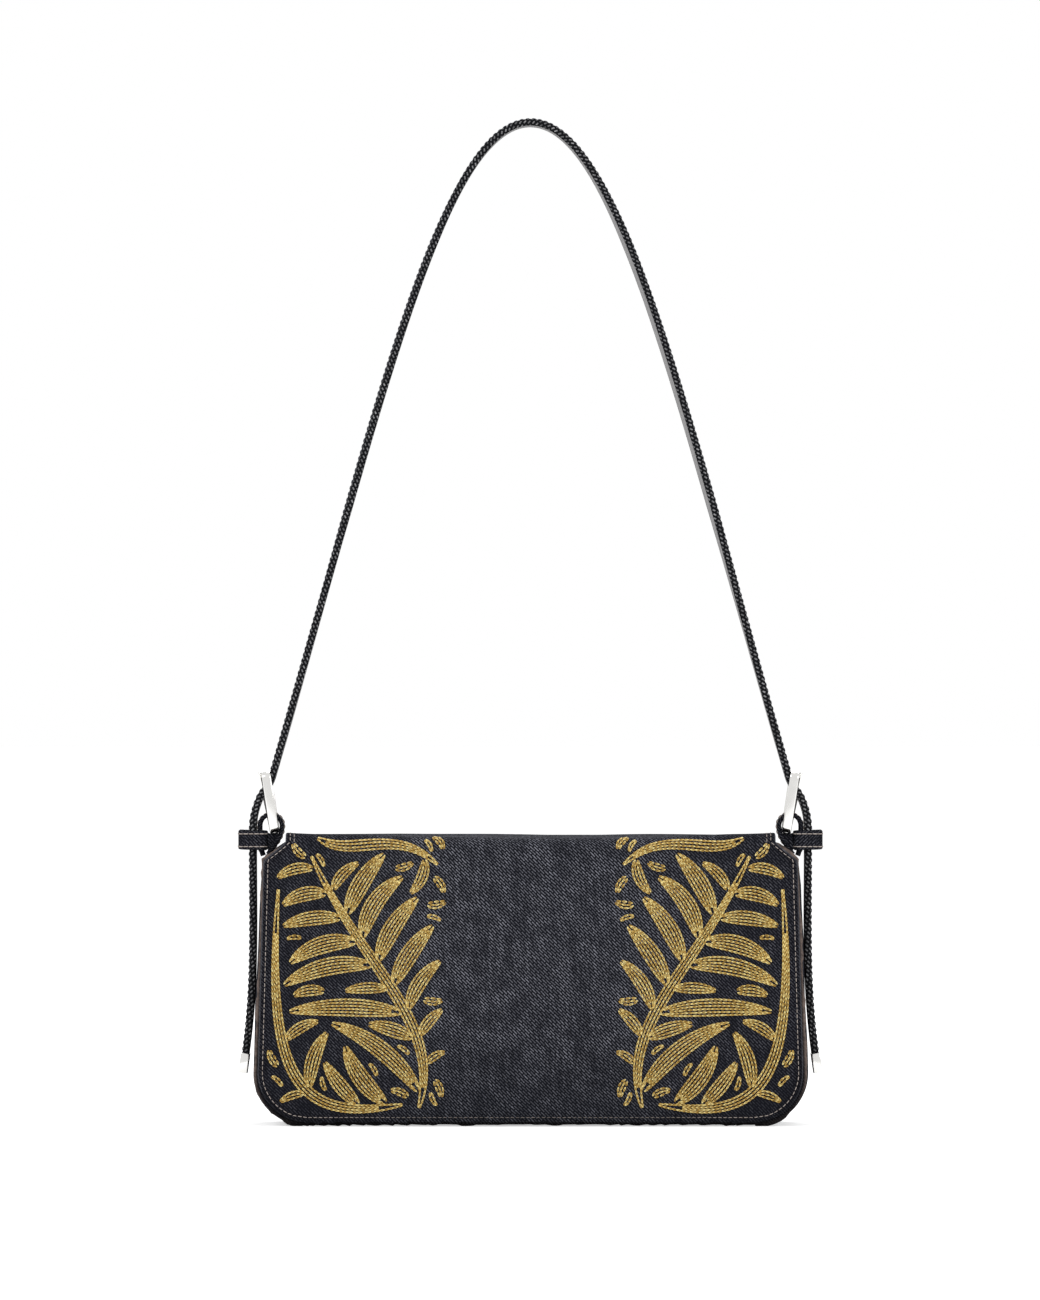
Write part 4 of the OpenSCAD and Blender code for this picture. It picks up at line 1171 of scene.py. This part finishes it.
# %% Tabs
tab_foot = np.array([float(half_width(GUSSET_Z)) - SHELL_T / 2, GUSSET_Z + 0.3])
leg_off, loop_r = TAB_T / 2 + 0.15, TAB_R + TAB_T / 2
SLOT_SIZE, SLOT_Z = (24, 3.8, 18.8), TAB_Z + 4
inner_leg = cubic([tab_foot + (-leg_off, 1), tab_foot + (-leg_off - 2.6, 5),
                   (TAB_X - loop_r, TAB_Z - 6), (TAB_X - loop_r, TAB_Z)], 14)
outer_leg = cubic([(TAB_X + loop_r, TAB_Z), (TAB_X + loop_r, TAB_Z - 7),
                   tab_foot + (leg_off + 1.4, 4), tab_foot + (leg_off, 0.2)], 14)
loop = [(TAB_X + loop_r * math.cos(q), TAB_Z + loop_r * math.sin(q))
        for q in np.linspace(math.pi, 0, 22)[1:-1]]
tab_line = np.concatenate([inner_leg, loop, outer_leg])
for sign, side in SIDES:
    # A hem distance of 3 mm all over gives the whole tab the painted hem shade
    piece = band(f"tab_{side}_denim", *upright(tab_line, sign),
                 rounded_section(STRAP_W, TAB_T, 0.95), RAW_DENIM, hem=3.0)
    merged(piece, mm_block(SLOT_SIZE, (sign * TAB_X, BODY_Y, SLOT_Z)), "DIFFERENCE")
    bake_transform(piece)
    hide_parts(f"tab_{side}")
    print(piece.name, len(piece.data.polygons), "faces")

# %% [markdown]
# ## The tabs' filling
# Under the heel bar the two legs are sewn together round turned-in denim, which looks dark
# between them. It reaches up to the bar at the front and back, and less high in the middle,
# where the prong's eye turns. Its outline follows the inner leg, so it is drawn from that.

# %% Filling of the tabs
KEEPER_H, KEEPER_T, KEEPER_TUCK, KEEPER_PLAY, KEEPER_SIDE = 9.2, 1.4, 1.2, 4, 0.6
keeper_in = TAB_X + TAB_R - KEEPER_TUCK - KEEPER_T
FILL_X, FILL_W, HEEL_DOWN = keeper_in - 0.3, STRAP_W - 0.8, 1.76
EYE_FOOT, BAR_FOOT = (TAB_Z - HEEL_DOWN - EYE_D / 2 - 0.6,
                      TAB_Z - HEEL_DOWN - BAR_D / 2 - 0.1)
FILLS = (("front", -FILL_W / 2, -2, BAR_FOOT), ("middle", -2, 2, EYE_FOOT),
         ("back", 2, FILL_W / 2, BAR_FOOT))
for (sign, side), (part, y0, y1, top) in itertools.product(SIDES, FILLS):
    curve_in = [q for q in inner_leg if q[0] < FILL_X and q[1] < top]
    fill_outline = np.array(curve_in + [(FILL_X, curve_in[-1][1]), (FILL_X, curve_in[0][1])])
    count = len(fill_outline)
    corners = [(sign * x, BODY_Y + y, z) for y in (y0, y1) for x, z in fill_outline]
    faces = [list(range(count)), list(range(2 * count - 1, count - 1, -1))]
    faces += [(i, (i + 1) % count, (i + 1) % count + count, i + count) for i in range(count)]
    # A hem distance of 2.5 mm gives the filling the painted hem shade, darker between the legs
    piece = made(f"tab_{side}_filling_{part}", corners, faces, RAW_DENIM,
                 [(c[0] + c[1], c[2]) for c in corners], [2.5] * len(corners))
    outward(piece.data)
    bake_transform(piece)
    print(piece.name, len(piece.data.polygons), "faces")

# %% [markdown]
# ## Keepers
# A keeper is a closed denim band that holds tab and tail together. A band drawn round a
# rectangle with round corners makes it, and a slow wave round it keeps it from looking cast.

# %% Keepers
keeper_out = TAIL_X + STRAP_T / 2 + KEEPER_PLAY + KEEPER_T
keeper_mid, keeper_half = (keeper_in + keeper_out) / 2, (keeper_out - keeper_in) / 2
keeper_y = STRAP_W / 2 + KEEPER_SIDE + KEEPER_T


def keeper_line(inset, r=2.4, count=8):
    """Closed outline of the band in XY about its middle, anticlockwise, with outward normals."""
    hx, hy, points = keeper_half - inset - r, keeper_y - inset - r, []
    for cx, cy, start in ((hx, -hy, -90), (hx, hy, 0), (-hx, hy, 90), (-hx, -hy, 180)):
        for q in np.radians(np.linspace(start, start + 90, count)):
            points.append((cx + r * math.cos(q), cy + r * math.sin(q), math.cos(q),
                           math.sin(q)))
    dense = []
    for a, b in zip(points, points[1:] + points[:1]):
        a, b = np.array(a), np.array(b)
        parts = max(1, int(np.linalg.norm(b[:2] - a[:2]) / 1.2))
        dense += [a + (b - a) * i / parts for i in range(parts)]
    return np.array(dense)


for sign, side in SIDES:
    line = keeper_line(KEEPER_T / 2)
    belly = 0.35 * np.sin(np.linspace(0, 2 * math.pi, len(line), endpoint=False))
    centres = np.stack([sign * (keeper_mid + line[:, 0]), BODY_Y + line[:, 1],
                        KEEPER_Z + KEEPER_H / 2 + belly], 1)
    out = np.stack([sign * line[:, 2], line[:, 3], 0 * belly], 1)
    up = np.repeat([[0.0, 0.0, 1.0]], len(line), 0)
    piece = band(f"keeper_{side}_denim", centres, up, out,
                 rounded_section(KEEPER_H, KEEPER_T, 0.6, 4, 4), RAW_DENIM, closed=True)
    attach(piece, "bag")
    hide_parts(f"keeper_{side}")
    print(piece.name, len(piece.data.polygons), "faces")

# %% [markdown]
# ## Buckles
# A belt buckle is cast: a frame with round corners and soft edges, a bar in front and one at
# the heel. It is modelled as a block with a window cut through and two round bars joined on,
# built about its own origin and then moved into its place.

# %% Helpers for metal pieces
def settled(o, name, place, sign, material, body, node):
    """Moves a finished piece into its place in its mesh, mirrored where sign is -1."""
    o.name = o.data.name = name
    o.data.transform(place)
    if sign < 0:
        o.data.transform(Matrix.Scale(-1, 4, (1, 0, 0)))
        o.data.flip_normals()
    o.data.materials.clear()
    o.data.materials.append(material)
    smooth(o, 35)
    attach(o, body)
    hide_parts(node)
    print(name, len(o.data.polygons), "faces")


def placed_at(x, z, angle):
    """Place of a piece whose own axes lean by the angle about Y."""
    return (Matrix.Translation(Vector((x, BODY_Y, z)) * MM)
            @ Matrix.Rotation(math.radians(angle), 4, "Y"))


# %% Buckles
WINDOW_W, FRAME_W, SHARP = STRAP_W + 1.4, STRAP_W + 7.4, math.radians(50)
CORNER_BEVEL, EDGE_BEVEL, EYE_BEVEL, TIP_BEVEL = 3, 0.75, 0.35, 0.45
for sign, side in SIDES:
    o = mm_block((BUCKLE_T, FRAME_W, BUCKLE_L))
    bpy.ops.object.mode_set(mode="EDIT")
    edit = bmesh.from_edit_mesh(o.data)
    for e in edit.edges:
        way_of = e.verts[0].co - e.verts[1].co
        e.select = abs(way_of.x) > 0.9 * way_of.length
    bmesh.update_edit_mesh(o.data)
    bpy.ops.mesh.bevel(offset=CORNER_BEVEL * MM, segments=6)
    bpy.ops.object.mode_set(mode="OBJECT")
    merged(o, mm_block((3 * BUCKLE_T, WINDOW_W, 2 * BUCKLE_L)), "DIFFERENCE")
    applied(o, "BEVEL", width=EDGE_BEVEL * MM, segments=4, limit_method="ANGLE",
            angle_limit=SHARP)
    for out_by, up_by in ((BAR_OUT, BAR_UP), (0, -BAR_UP)):
        merged(o, mm_rod(BAR_D, WINDOW_W + 3, (out_by, 0, up_by), (90, 0, 0)))
    settled(o, f"buckle_{side}_frame", placed_at(*BUCKLE_AT, BUCKLE_LEAN), sign, NICKEL,
            "strap", f"buckle_{side}")

# %% [markdown]
# ## Prongs
# A prong is a round pin whose eye goes round the heel bar and whose point lies over the front
# bar. A tapered rod, a ball at its point and a bored disc for the eye are joined to make it.

# %% Prongs
POINT_SHARE = 0.84
prong_l = math.hypot(head_out - foot_out, head_up + BAR_UP)
prong_turn = math.degrees(math.atan2(head_out - foot_out, head_up + BAR_UP))
for sign, side in SIDES:
    mid = ((foot_out + head_out) / 2, 0, (head_up - BAR_UP) / 2)
    o = mm_rod(PRONG_D, prong_l, mid, (0, prong_turn, 0), PRONG_D * POINT_SHARE)
    bpy.ops.mesh.primitive_uv_sphere_add(segments=24, ring_count=12,
                                         radius=PRONG_D * POINT_SHARE / 2 * MM,
                                         location=(head_out * MM, 0, head_up * MM))
    bpy.ops.object.transform_apply(location=True, rotation=True, scale=True)
    merged(o, bpy.context.object)
    eye = mm_rod(EYE_D, EYE_W, (0, 0, -BAR_UP), (90, 0, 0))
    applied(eye, "BEVEL", width=EYE_BEVEL * MM, segments=3, limit_method="ANGLE",
            angle_limit=SHARP)
    merged(o, eye)
    merged(o, mm_rod(BAR_D + 0.2, 3 * EYE_W, (0, 0, -BAR_UP), (90, 0, 0)), "DIFFERENCE")
    settled(o, f"buckle_{side}_prong", placed_at(*BUCKLE_AT, BUCKLE_LEAN), sign, NICKEL,
            "strap", f"prong_{side}")

# %% [markdown]
# ## Metal tips
# A tip is a strip of plated sheet folded over the end of the strap. A block with soft edges
# is hollowed from above, which leaves a closed foot and a thin wall round the cloth.

# %% Metal tips
TIP_H, TIP_WALL, TIP_FIT = 9.7, 0.5, 0.2
for sign, side in SIDES:
    o = mm_block((STRAP_T + TIP_FIT + 2 * TIP_WALL, STRAP_W + TIP_FIT + 2 * TIP_WALL, TIP_H),
                 (0, 0, -TIP_H / 2))
    applied(o, "BEVEL", width=TIP_BEVEL * MM, segments=3)
    merged(o, mm_block((STRAP_T + TIP_FIT, STRAP_W + TIP_FIT, 2 * (TIP_H - TIP_WALL))),
           "DIFFERENCE")
    settled(o, f"tip_{side}_sleeve", placed_at(*tail_foot, -8), sign, NICKEL,
            f"tail_{side}", f"tip_{side}")

# %% [markdown]
# ## Stitches
# Each stitch is a small capsule of thread that dips into the cloth at both ends. A run of them
# follows a line on the cloth at an even pitch. The chain-stitch rows of the embroidery are
# made of loops of thread instead, each a flat teardrop that starts inside the one before.

# %% Stitch shapes
def tube(points, radius, sides, closed, flat=1.0):
    """Vertices and faces of a thread along points given as (along, side, up)."""
    points = np.asarray(points, float)
    ahead = np.roll(points, -1, 0) - np.roll(points, 1, 0)
    if not closed:
        ahead[0], ahead[-1] = points[1] - points[0], points[-1] - points[-2]
    ahead /= np.linalg.norm(ahead, axis=1, keepdims=True)
    flank = np.cross(ahead, (0, 0, 1.0))
    flank /= np.linalg.norm(flank, axis=1, keepdims=True)
    up = np.cross(flank, ahead)
    radius = np.broadcast_to(radius, len(points))
    verts, faces, n = [], [], len(points)
    for i in range(n):
        for q in np.linspace(0, 2 * math.pi, sides, endpoint=False) + math.pi / sides:
            verts.append(points[i] + radius[i] * (flank[i] * math.cos(q)
                                                  + up[i] * math.sin(q) * flat))
    for i in range(n if closed else n - 1):
        for j in range(sides):
            k, m = (i + 1) % n, (j + 1) % sides
            faces.append((i * sides + j, k * sides + j, k * sides + m, i * sides + m))
    if not closed:
        faces += [tuple(range(sides)), tuple(range(n * sides - 1, (n - 1) * sides - 1, -1))]
    return np.array(verts), faces


# %% [markdown]
# ## Placing stitches
# One stitch is modelled once and copied to all its places as a single mesh, because hundreds
# of objects would be slow. A run is spaced evenly along its line, as a machine feeds cloth.

# %% Many stitches in one mesh
def scattered(name, shape, centre, along, up, material, tone=None, seed=1):
    """Copies of a stitch at many places, as one mesh with lift and tone attributes."""
    verts, faces = shape
    centre, along, up = (np.asarray(a, float).reshape(-1, 3) for a in (centre, along, up))
    along = along / np.linalg.norm(along, axis=1, keepdims=True)
    side = np.cross(up, along)
    side /= np.linalg.norm(side, axis=1, keepdims=True)
    top = np.cross(along, side)
    all_verts = (centre[:, None] + verts[None, :, 0, None] * along[:, None]
                 + verts[None, :, 1, None] * side[:, None] + verts[None, :, 2, None]
                 * top[:, None])
    step = len(verts) * np.arange(len(centre))
    rng = np.random.default_rng(seed)
    tone = rng.uniform(0, 1, len(centre)) if tone is None else tone
    low, high = verts[:, 2].min(), verts[:, 2].max()
    o, mesh = new_mesh(name, all_verts.reshape(-1, 3),
                       [[v + k for v in f] for k in step.tolist() for f in faces], material,
                       lift=np.tile((verts[:, 2] - low) / (high - low), len(centre)),
                       tone=np.repeat(tone, len(verts)))
    mesh.polygons.foreach_set("use_smooth", np.ones(len(mesh.polygons), bool))
    outward(mesh)
    print(name, len(centre), "stitches,", len(mesh.polygons), "faces")
    return o


def evenly(line, pitch):
    """Points every pitch mm along a line, with the way it runs there."""
    line = np.asarray(line, float)
    far = run_lengths(line)
    count = max(1, int(far[-1] / pitch))
    at = (np.arange(count) + 0.5) * far[-1] / count

    def spot(far_there):
        return np.stack([np.interp(far_there, far, column) for column in line.T], 1)

    return spot(at), spot(at + 0.4) - spot(at - 0.4)


def joined(runs):
    """Points, directions and normals of several runs, one after another."""
    return [np.concatenate(q) for q in zip(*runs)]


def sewing_stitch(length, radius):
    """A stitch that rises out of the cloth, lies on it and dips back in."""
    a = length / 2
    return tube([(-a, 0, -0.35), (-a * 0.75, 0, 0.05), (0, 0, 0.14), (a * 0.75, 0, 0.05),
                 (a, 0, -0.35)], [radius * 0.7, radius, radius, radius, radius * 0.7], 6, False)


FINE_STITCH, BOLD_STITCH = sewing_stitch(1.9, 0.2), sewing_stitch(2.5, 0.27)


def on_flap(line, pitch, lift=0.0):
    """Places along a line of (x, way) on the flap: points, directions and normals."""
    point, ahead = evenly(line, pitch)
    at, up = flap_at(point[:, 0], point[:, 1], lift)
    down = np.cross((1.0, 0, 0), up)
    return at, ahead[:, :1] * (1.0, 0, 0) + ahead[:, 1:] * down, up


# %% [markdown]
# ## Topstitching of the flap
# One pale row runs 2.3 mm inside the flap's hem, down the sides and along the foot, and a
# short one down each side of the neck. The thread is one colour all round, but its stitches
# look darker towards the middle, where the foot lies in shade, so a painted shade gives each
# stitch a tone by its distance from the middle.

# %% Stitches on the flap
HEM_ROW, NECK_ROW = 2.3, 4.2
FLAP_PITCH, STRAP_PITCH, TAB_PITCH, BODY_PITCH = 2.5, 3.0, 2.6, 2.8
edge_ways = np.linspace(FOLD_WAY - 4, END_WAY - HEM_ROW, 160)
hem_line = np.array([(float(flap_half(w, HEM_ROW)), w) for w in edge_ways])
foot_line = [(x, END_WAY - HEM_ROW) for x in np.linspace(hem_line[-1, 0], 0, 60)[1:]]
right_hem = np.concatenate([hem_line, foot_line])
neck_ways = np.linspace(FOLD_WAY - 6, FRONT_WAY + 3, 20)
neck_line = np.array([(NECK_X - NECK_ROW, w) for w in neck_ways])
rng_tone = np.random.default_rng(3)
for sign, side in SIDES:
    at, ahead, up = joined([on_flap(line * (sign, 1), FLAP_PITCH)
                            for line in (right_hem, neck_line)])
    # Painted shade: stitches darker towards the middle of the foot, with a little random tone
    shade = np.interp(abs(at[:, 0]), [60, 118], [-1.2, 0.4])
    shade = shade + rng_tone.uniform(-0.3, 0.3, len(at))
    piece = scattered(f"flap_topstitch_{side}", FINE_STITCH, at, ahead, up, PALE_THREAD,
                      tone=shade)
    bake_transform(piece)

# %% [markdown]
# ## Stitches of strap, tabs and keepers
# Two dark rows hold each strap's turned edges, a pale row runs along both sides of a tab, and
# two bolder rows go right round a keeper. They follow the same lines as the bands do, moved
# outward to the cloth's face, and bend with them.

# %% Stitches on strap, tabs and keepers
def on_band(line, sign, off, across_by, pitch, twist=0.0):
    """Places along a band: off from its middle line, across_by from its middle in Y."""
    centres, wide, out = upright(line, sign, twist)
    face = centres + across_by * wide + off * out
    point, ahead = evenly(np.concatenate([face, out], 1), pitch)
    return point[:, :3], ahead[:, :3], point[:, 3:]


SEAM_Y, TAB_SEAM_Y, ON_CLOTH, KEEPER_ROW = half_w - 1.9, half_w - 1.3, 0.06, 3.1
runs = joined([on_band(arch, 1, half_t + ON_CLOTH, y, STRAP_PITCH, arch_twist)
               for y in (-SEAM_Y, SEAM_Y)])
piece = scattered("strap_stitches", FINE_STITCH, *runs, DARK_THREAD)
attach(piece, "strap")
for sign, side in SIDES:
    for line, body, name, bend in ((end_line, "strap", "strap_end", STRAP_BEND),
                                   (tail_line, f"tail_{side}", "tail", TAIL_BEND)):
        runs = joined([on_band(line, sign, half_t + ON_CLOTH, y, STRAP_PITCH)
                       for y in (-SEAM_Y, SEAM_Y)])
        piece = scattered(f"{name}_stitches_{side}", FINE_STITCH, *runs, DARK_THREAD)
        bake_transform(piece)
    # A tab's rows leave out the ends of its two legs, which the gusset's seam holds
    runs = joined([on_band(tab_line[3:-2], sign, TAB_T / 2, y, TAB_PITCH)
                   for y in (-TAB_SEAM_Y, TAB_SEAM_Y)])
    piece = scattered(f"tab_stitches_{side}", FINE_STITCH, *runs, PALE_THREAD)
    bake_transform(piece)
    ring = keeper_line(0)
    ring = np.concatenate([ring, ring[:1]])
    runs = []
    for rise in (-KEEPER_ROW, KEEPER_ROW):
        face = np.stack([sign * (keeper_mid + ring[:, 0]), BODY_Y + ring[:, 1],
                         0 * ring[:, 0] + KEEPER_Z + KEEPER_H / 2 + rise, sign * ring[:, 2],
                         ring[:, 3], 0 * ring[:, 0]], 1)
        point, ahead = evenly(face, TAB_PITCH)
        runs.append((point[:, :3], ahead[:, :3], point[:, 3:]))
    piece = scattered(f"keeper_stitches_{side}", BOLD_STITCH, *joined(runs), PALE_THREAD)
    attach(piece, "bag")

# %% [markdown]
# ## Stitches of the body
# One row follows the back panel's seam, one goes along the mouth on the front panel and on
# both facings, and one goes round the pocket. They lie on flat upright faces, so their places
# are lines in X and Z. The thread is bolder here than on the flap.

# %% Stitches on body, mouth and pocket
def flat_run(line, y_of, sign, pitch=BODY_PITCH):
    """Places along a line of (x, z) on an upright face that looks along sign * Y."""
    point, ahead = evenly(line, pitch)
    at = np.stack([point[:, 0], y_of(point[:, 1]), point[:, 1]], 1)
    way_3d = np.stack([ahead[:, 0], 0 * ahead[:, 0], ahead[:, 1]], 1)
    return at, way_3d, np.repeat([[0.0, sign, 0.0]], len(at), 0)


SEAM_ROW, RIM_ROW, ROW_LIFT = 3.0, 2.2, 0.05
seam_zs = spaced(SEAM_ROW, REAR_Z - 1, 2.0)
seam = [(float(panel_half(z, SEAM_ROW)), z) for z in seam_zs[::-1]]
seam_line = np.concatenate([seam, (np.array(seam) * (-1, 1))[::-1]])
rim = [(-NECK_X + SEAM_ROW, RIM_Z - RIM_ROW), (NECK_X - SEAM_ROW, RIM_Z - RIM_ROW)]
pocket_half, pocket_low, pocket_high = POCKET[0] / 2 - 2, POCKET[1] + 2, POCKET[2] - 2
pocket_line = [(-pocket_half, pocket_high), (-pocket_half, pocket_low),
               (pocket_half, pocket_low), (pocket_half, pocket_high),
               (-pocket_half, pocket_high)]
body_runs = joined([
    flat_run(seam_line, lambda z: back_y(z) + 0.2, 1),
    flat_run(rim, lambda z: front_y(z) - ROW_LIFT, -1),
    flat_run(rim, lambda z: front_y(z) + LAYER_IN + FACING_T + ROW_LIFT, 1),
    flat_run(rim, lambda z: back_y(z) - LAYER_IN - FACING_T - ROW_LIFT, -1),
    flat_run(pocket_line, lambda z: back_y(z) - LAYER_IN - 2 * LINING_T - 0.6, -1)])
piece = scattered("body_stitches", BOLD_STITCH, *body_runs, DARK_THREAD)
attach(piece, "bag")

# %% [markdown]
# ## Embroidery
# Gold chain-stitch foliage fills the left and right thirds of the flap and leaves the middle
# bare. Every stem and leaf is a bundle of two to six rows that close up at its ends. Leaves
# grow from the stems as long as there is room, and small ones fill what is left. Rows lie
# 1.55 mm apart and a stitch is 2.3 mm long, as measured in the photograph. The left third
# mirrors the right one.

# %% Leaves and stems of the embroidery
ROW, CHAIN = 1.55, 2.3
INNER_X, GAP = 39.0, 1.3
THREAD_HALF, EDGE_CLEAR, STEM_ROWS = 0.7, 2.6, 4
FOLIAGE_LOW, FOLIAGE_HIGH = 5.5, 143
NECK_CLEAR, SLANT_FROM, SLANT_H, SLANT = 1.5, 134, 20, 1.2


def roomy(points, half):
    """Whether a bundle this wide stays on its third of the flap."""
    x, z = points[:, 0], points[:, 1]
    side = half_width(z, *FLAP_SIZE, EDGE_CLEAR + half)
    beside_neck = NECK_X - NECK_CLEAR - half
    side = np.minimum(side, beside_neck + np.clip(SLANT_FROM - z, 0, SLANT_H) * SLANT)
    inside_x = (x < side) & (x > INNER_X + half)
    return bool((inside_x & (z > FOLIAGE_LOW + half) & (z < FOLIAGE_HIGH - half)).all())


def grown(start, heading, bend, length):
    """A leaf's middle line: it starts at a point and turns evenly along its length."""
    count = max(8, int(length / 0.9))
    a = np.radians(heading + bend * np.linspace(0, 1, count))
    step = np.stack([np.cos(a), np.sin(a)], 1) * length / (count - 1)
    return np.asarray(start) + np.concatenate([[[0, 0]], np.cumsum(step, axis=0)[:-1]])


def girth(count, blunt=0.16):
    """How wide a bundle is along its length, as a share of its full width: blunt at its ends."""
    t = np.linspace(0, 1, count)
    return np.maximum(np.sin(math.pi * t ** 0.85) ** 0.55, blunt)


bundles, taken = [], np.zeros((0, 3))


def claim(points, rows, own=0):
    """Keeps a bundle if it stays clear of the others beyond its first few points."""
    global taken
    half = (rows - 1) / 2 * ROW + THREAD_HALF
    wide = half * girth(len(points))
    if not roomy(points, half * 0.8):
        return False
    if len(taken) and own < len(points):
        free = points[own:]
        apart = np.linalg.norm(free[:, None] - taken[None, :, :2], axis=2)
        if (apart - taken[None, :, 2] - wide[own:, None] < GAP).any():
            return False
    bundles.append((points, rows))
    taken = np.concatenate([taken, np.column_stack([points, wide])])
    return True


# %% [markdown]
# ## Growing the foliage
# Three stems are listed. Leaves are then tried along them from long to short until one
# fits. Their angles come from a fixed seed, so the design comes out the same every time. At
# last, small leaves are tried at random spots that lie free.

# %% Stems and leaves
stems = [cubic([(54, 8.5), (42, 50), (80, 74), (106, 130)], 150),
         cubic([(62, 10), (112, 1), (129, 20), (122, 114)], 150),
         cubic([(103, 138.5), (86, 128), (66, 146), (45, 126)], 80)]
for stem in stems:
    half = (STEM_ROWS - 1) / 2 * ROW + THREAD_HALF
    bundles.append((stem, STEM_ROWS))
    taken = np.concatenate([taken, np.column_stack([stem, half * girth(len(stem))])])
ON_STEM, BESIDE_STEM, AHEAD_OF_NODE = 9, 2.2, 1.2
rng = np.random.default_rng(11)
for stem, pace, lengths in ((stems[0], 13.5, (54, 36)), (stems[1], 12.5, (20, 38)),
                            (stems[2], 12.5, (16, 28))):
    nodes, headings = evenly(stem, pace)
    for node, ahead in zip(nodes, headings):
        ahead = ahead / np.linalg.norm(ahead)
        angle = math.degrees(math.atan2(ahead[1], ahead[0]))
        for side, longest in ((-1, lengths[0]), (1, lengths[1])):
            open_by = rng.uniform(40, 56)
            for length in np.arange(longest, 8, -2.0):
                rows = 6 if length > 30 else 5 if length > 20 else 4 if length > 13 else 3
                flank = side * np.array([-ahead[1], ahead[0]])
                start = node + AHEAD_OF_NODE * ahead + BESIDE_STEM * flank
                line = grown(start, angle + side * open_by, side * rng.uniform(18, 62), length)
                own = min(int(ON_STEM * len(line) / length), len(line) // 2)
                if claim(line, rows, own):
                    break
TRIES = 500
for length, rows in ((34, 5), (26, 5), (20, 4), (15, 4), (12, 3), (9, 3), (7, 2)):
    for _ in range(TRIES):
        spot = rng.uniform((INNER_X, 6), (128, 142))
        nearest = stems[0][np.linalg.norm(stems[0] - spot, axis=1).argmin()]
        pull = math.degrees(math.atan2(*(spot - nearest)[::-1]))
        line = grown(spot, pull + rng.uniform(30, 80), rng.choice([-1, 1]) * 45, length)
        claim(line, rows)
print(len(bundles), "bundles")

# %% [markdown]
# ## Chain stitch
# In chain stitch every loop starts inside the one before, so a row looks like a row of small
# links. One link is a flat ring of thread that rises towards its front end. Copies of it
# follow every row over the flap's own surface, and bend with the flap's fold.

# %% Chain-stitch rows
link = [(1.1 * math.cos(q), 0.3 * math.sin(q) * (1 - 0.35 * math.cos(q)),
         0.24 + 0.2 * math.cos(q)) for q in np.linspace(0, 2 * math.pi, 10, endpoint=False)]
CHAIN_LOOP, OVERLAP, CHAIN_LIFT = tube(link, 0.225, 4, True, 0.9), 0.1, 0.02
rows_of_chain = []
for points, rows in bundles:
    ahead = np.gradient(points, axis=0)
    ahead /= np.linalg.norm(ahead, axis=1, keepdims=True)
    flank = np.stack([-ahead[:, 1], ahead[:, 0]], 1)
    wide = girth(len(points))
    for i in range(rows):
        off = (i - (rows - 1) / 2) * ROW
        inner = 1 - abs(2 * i - rows + 1) / max(rows - 1, 1)
        trim = int(len(points) * 0.12 * inner)
        line = (points + flank * (off * wide)[:, None])[trim:len(points) - trim]
        rows_of_chain.append(line[::1 if i % 2 else -1])
for sign, side in SIDES:
    runs = [on_flap(np.stack([sign * line[:, 0], way_at(line[:, 1])], 1), CHAIN - OVERLAP,
                    CHAIN_LIFT) for line in rows_of_chain]
    piece = scattered(f"embroidery_{side}", CHAIN_LOOP, *joined(runs), GOLD, seed=5)
    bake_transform(piece)
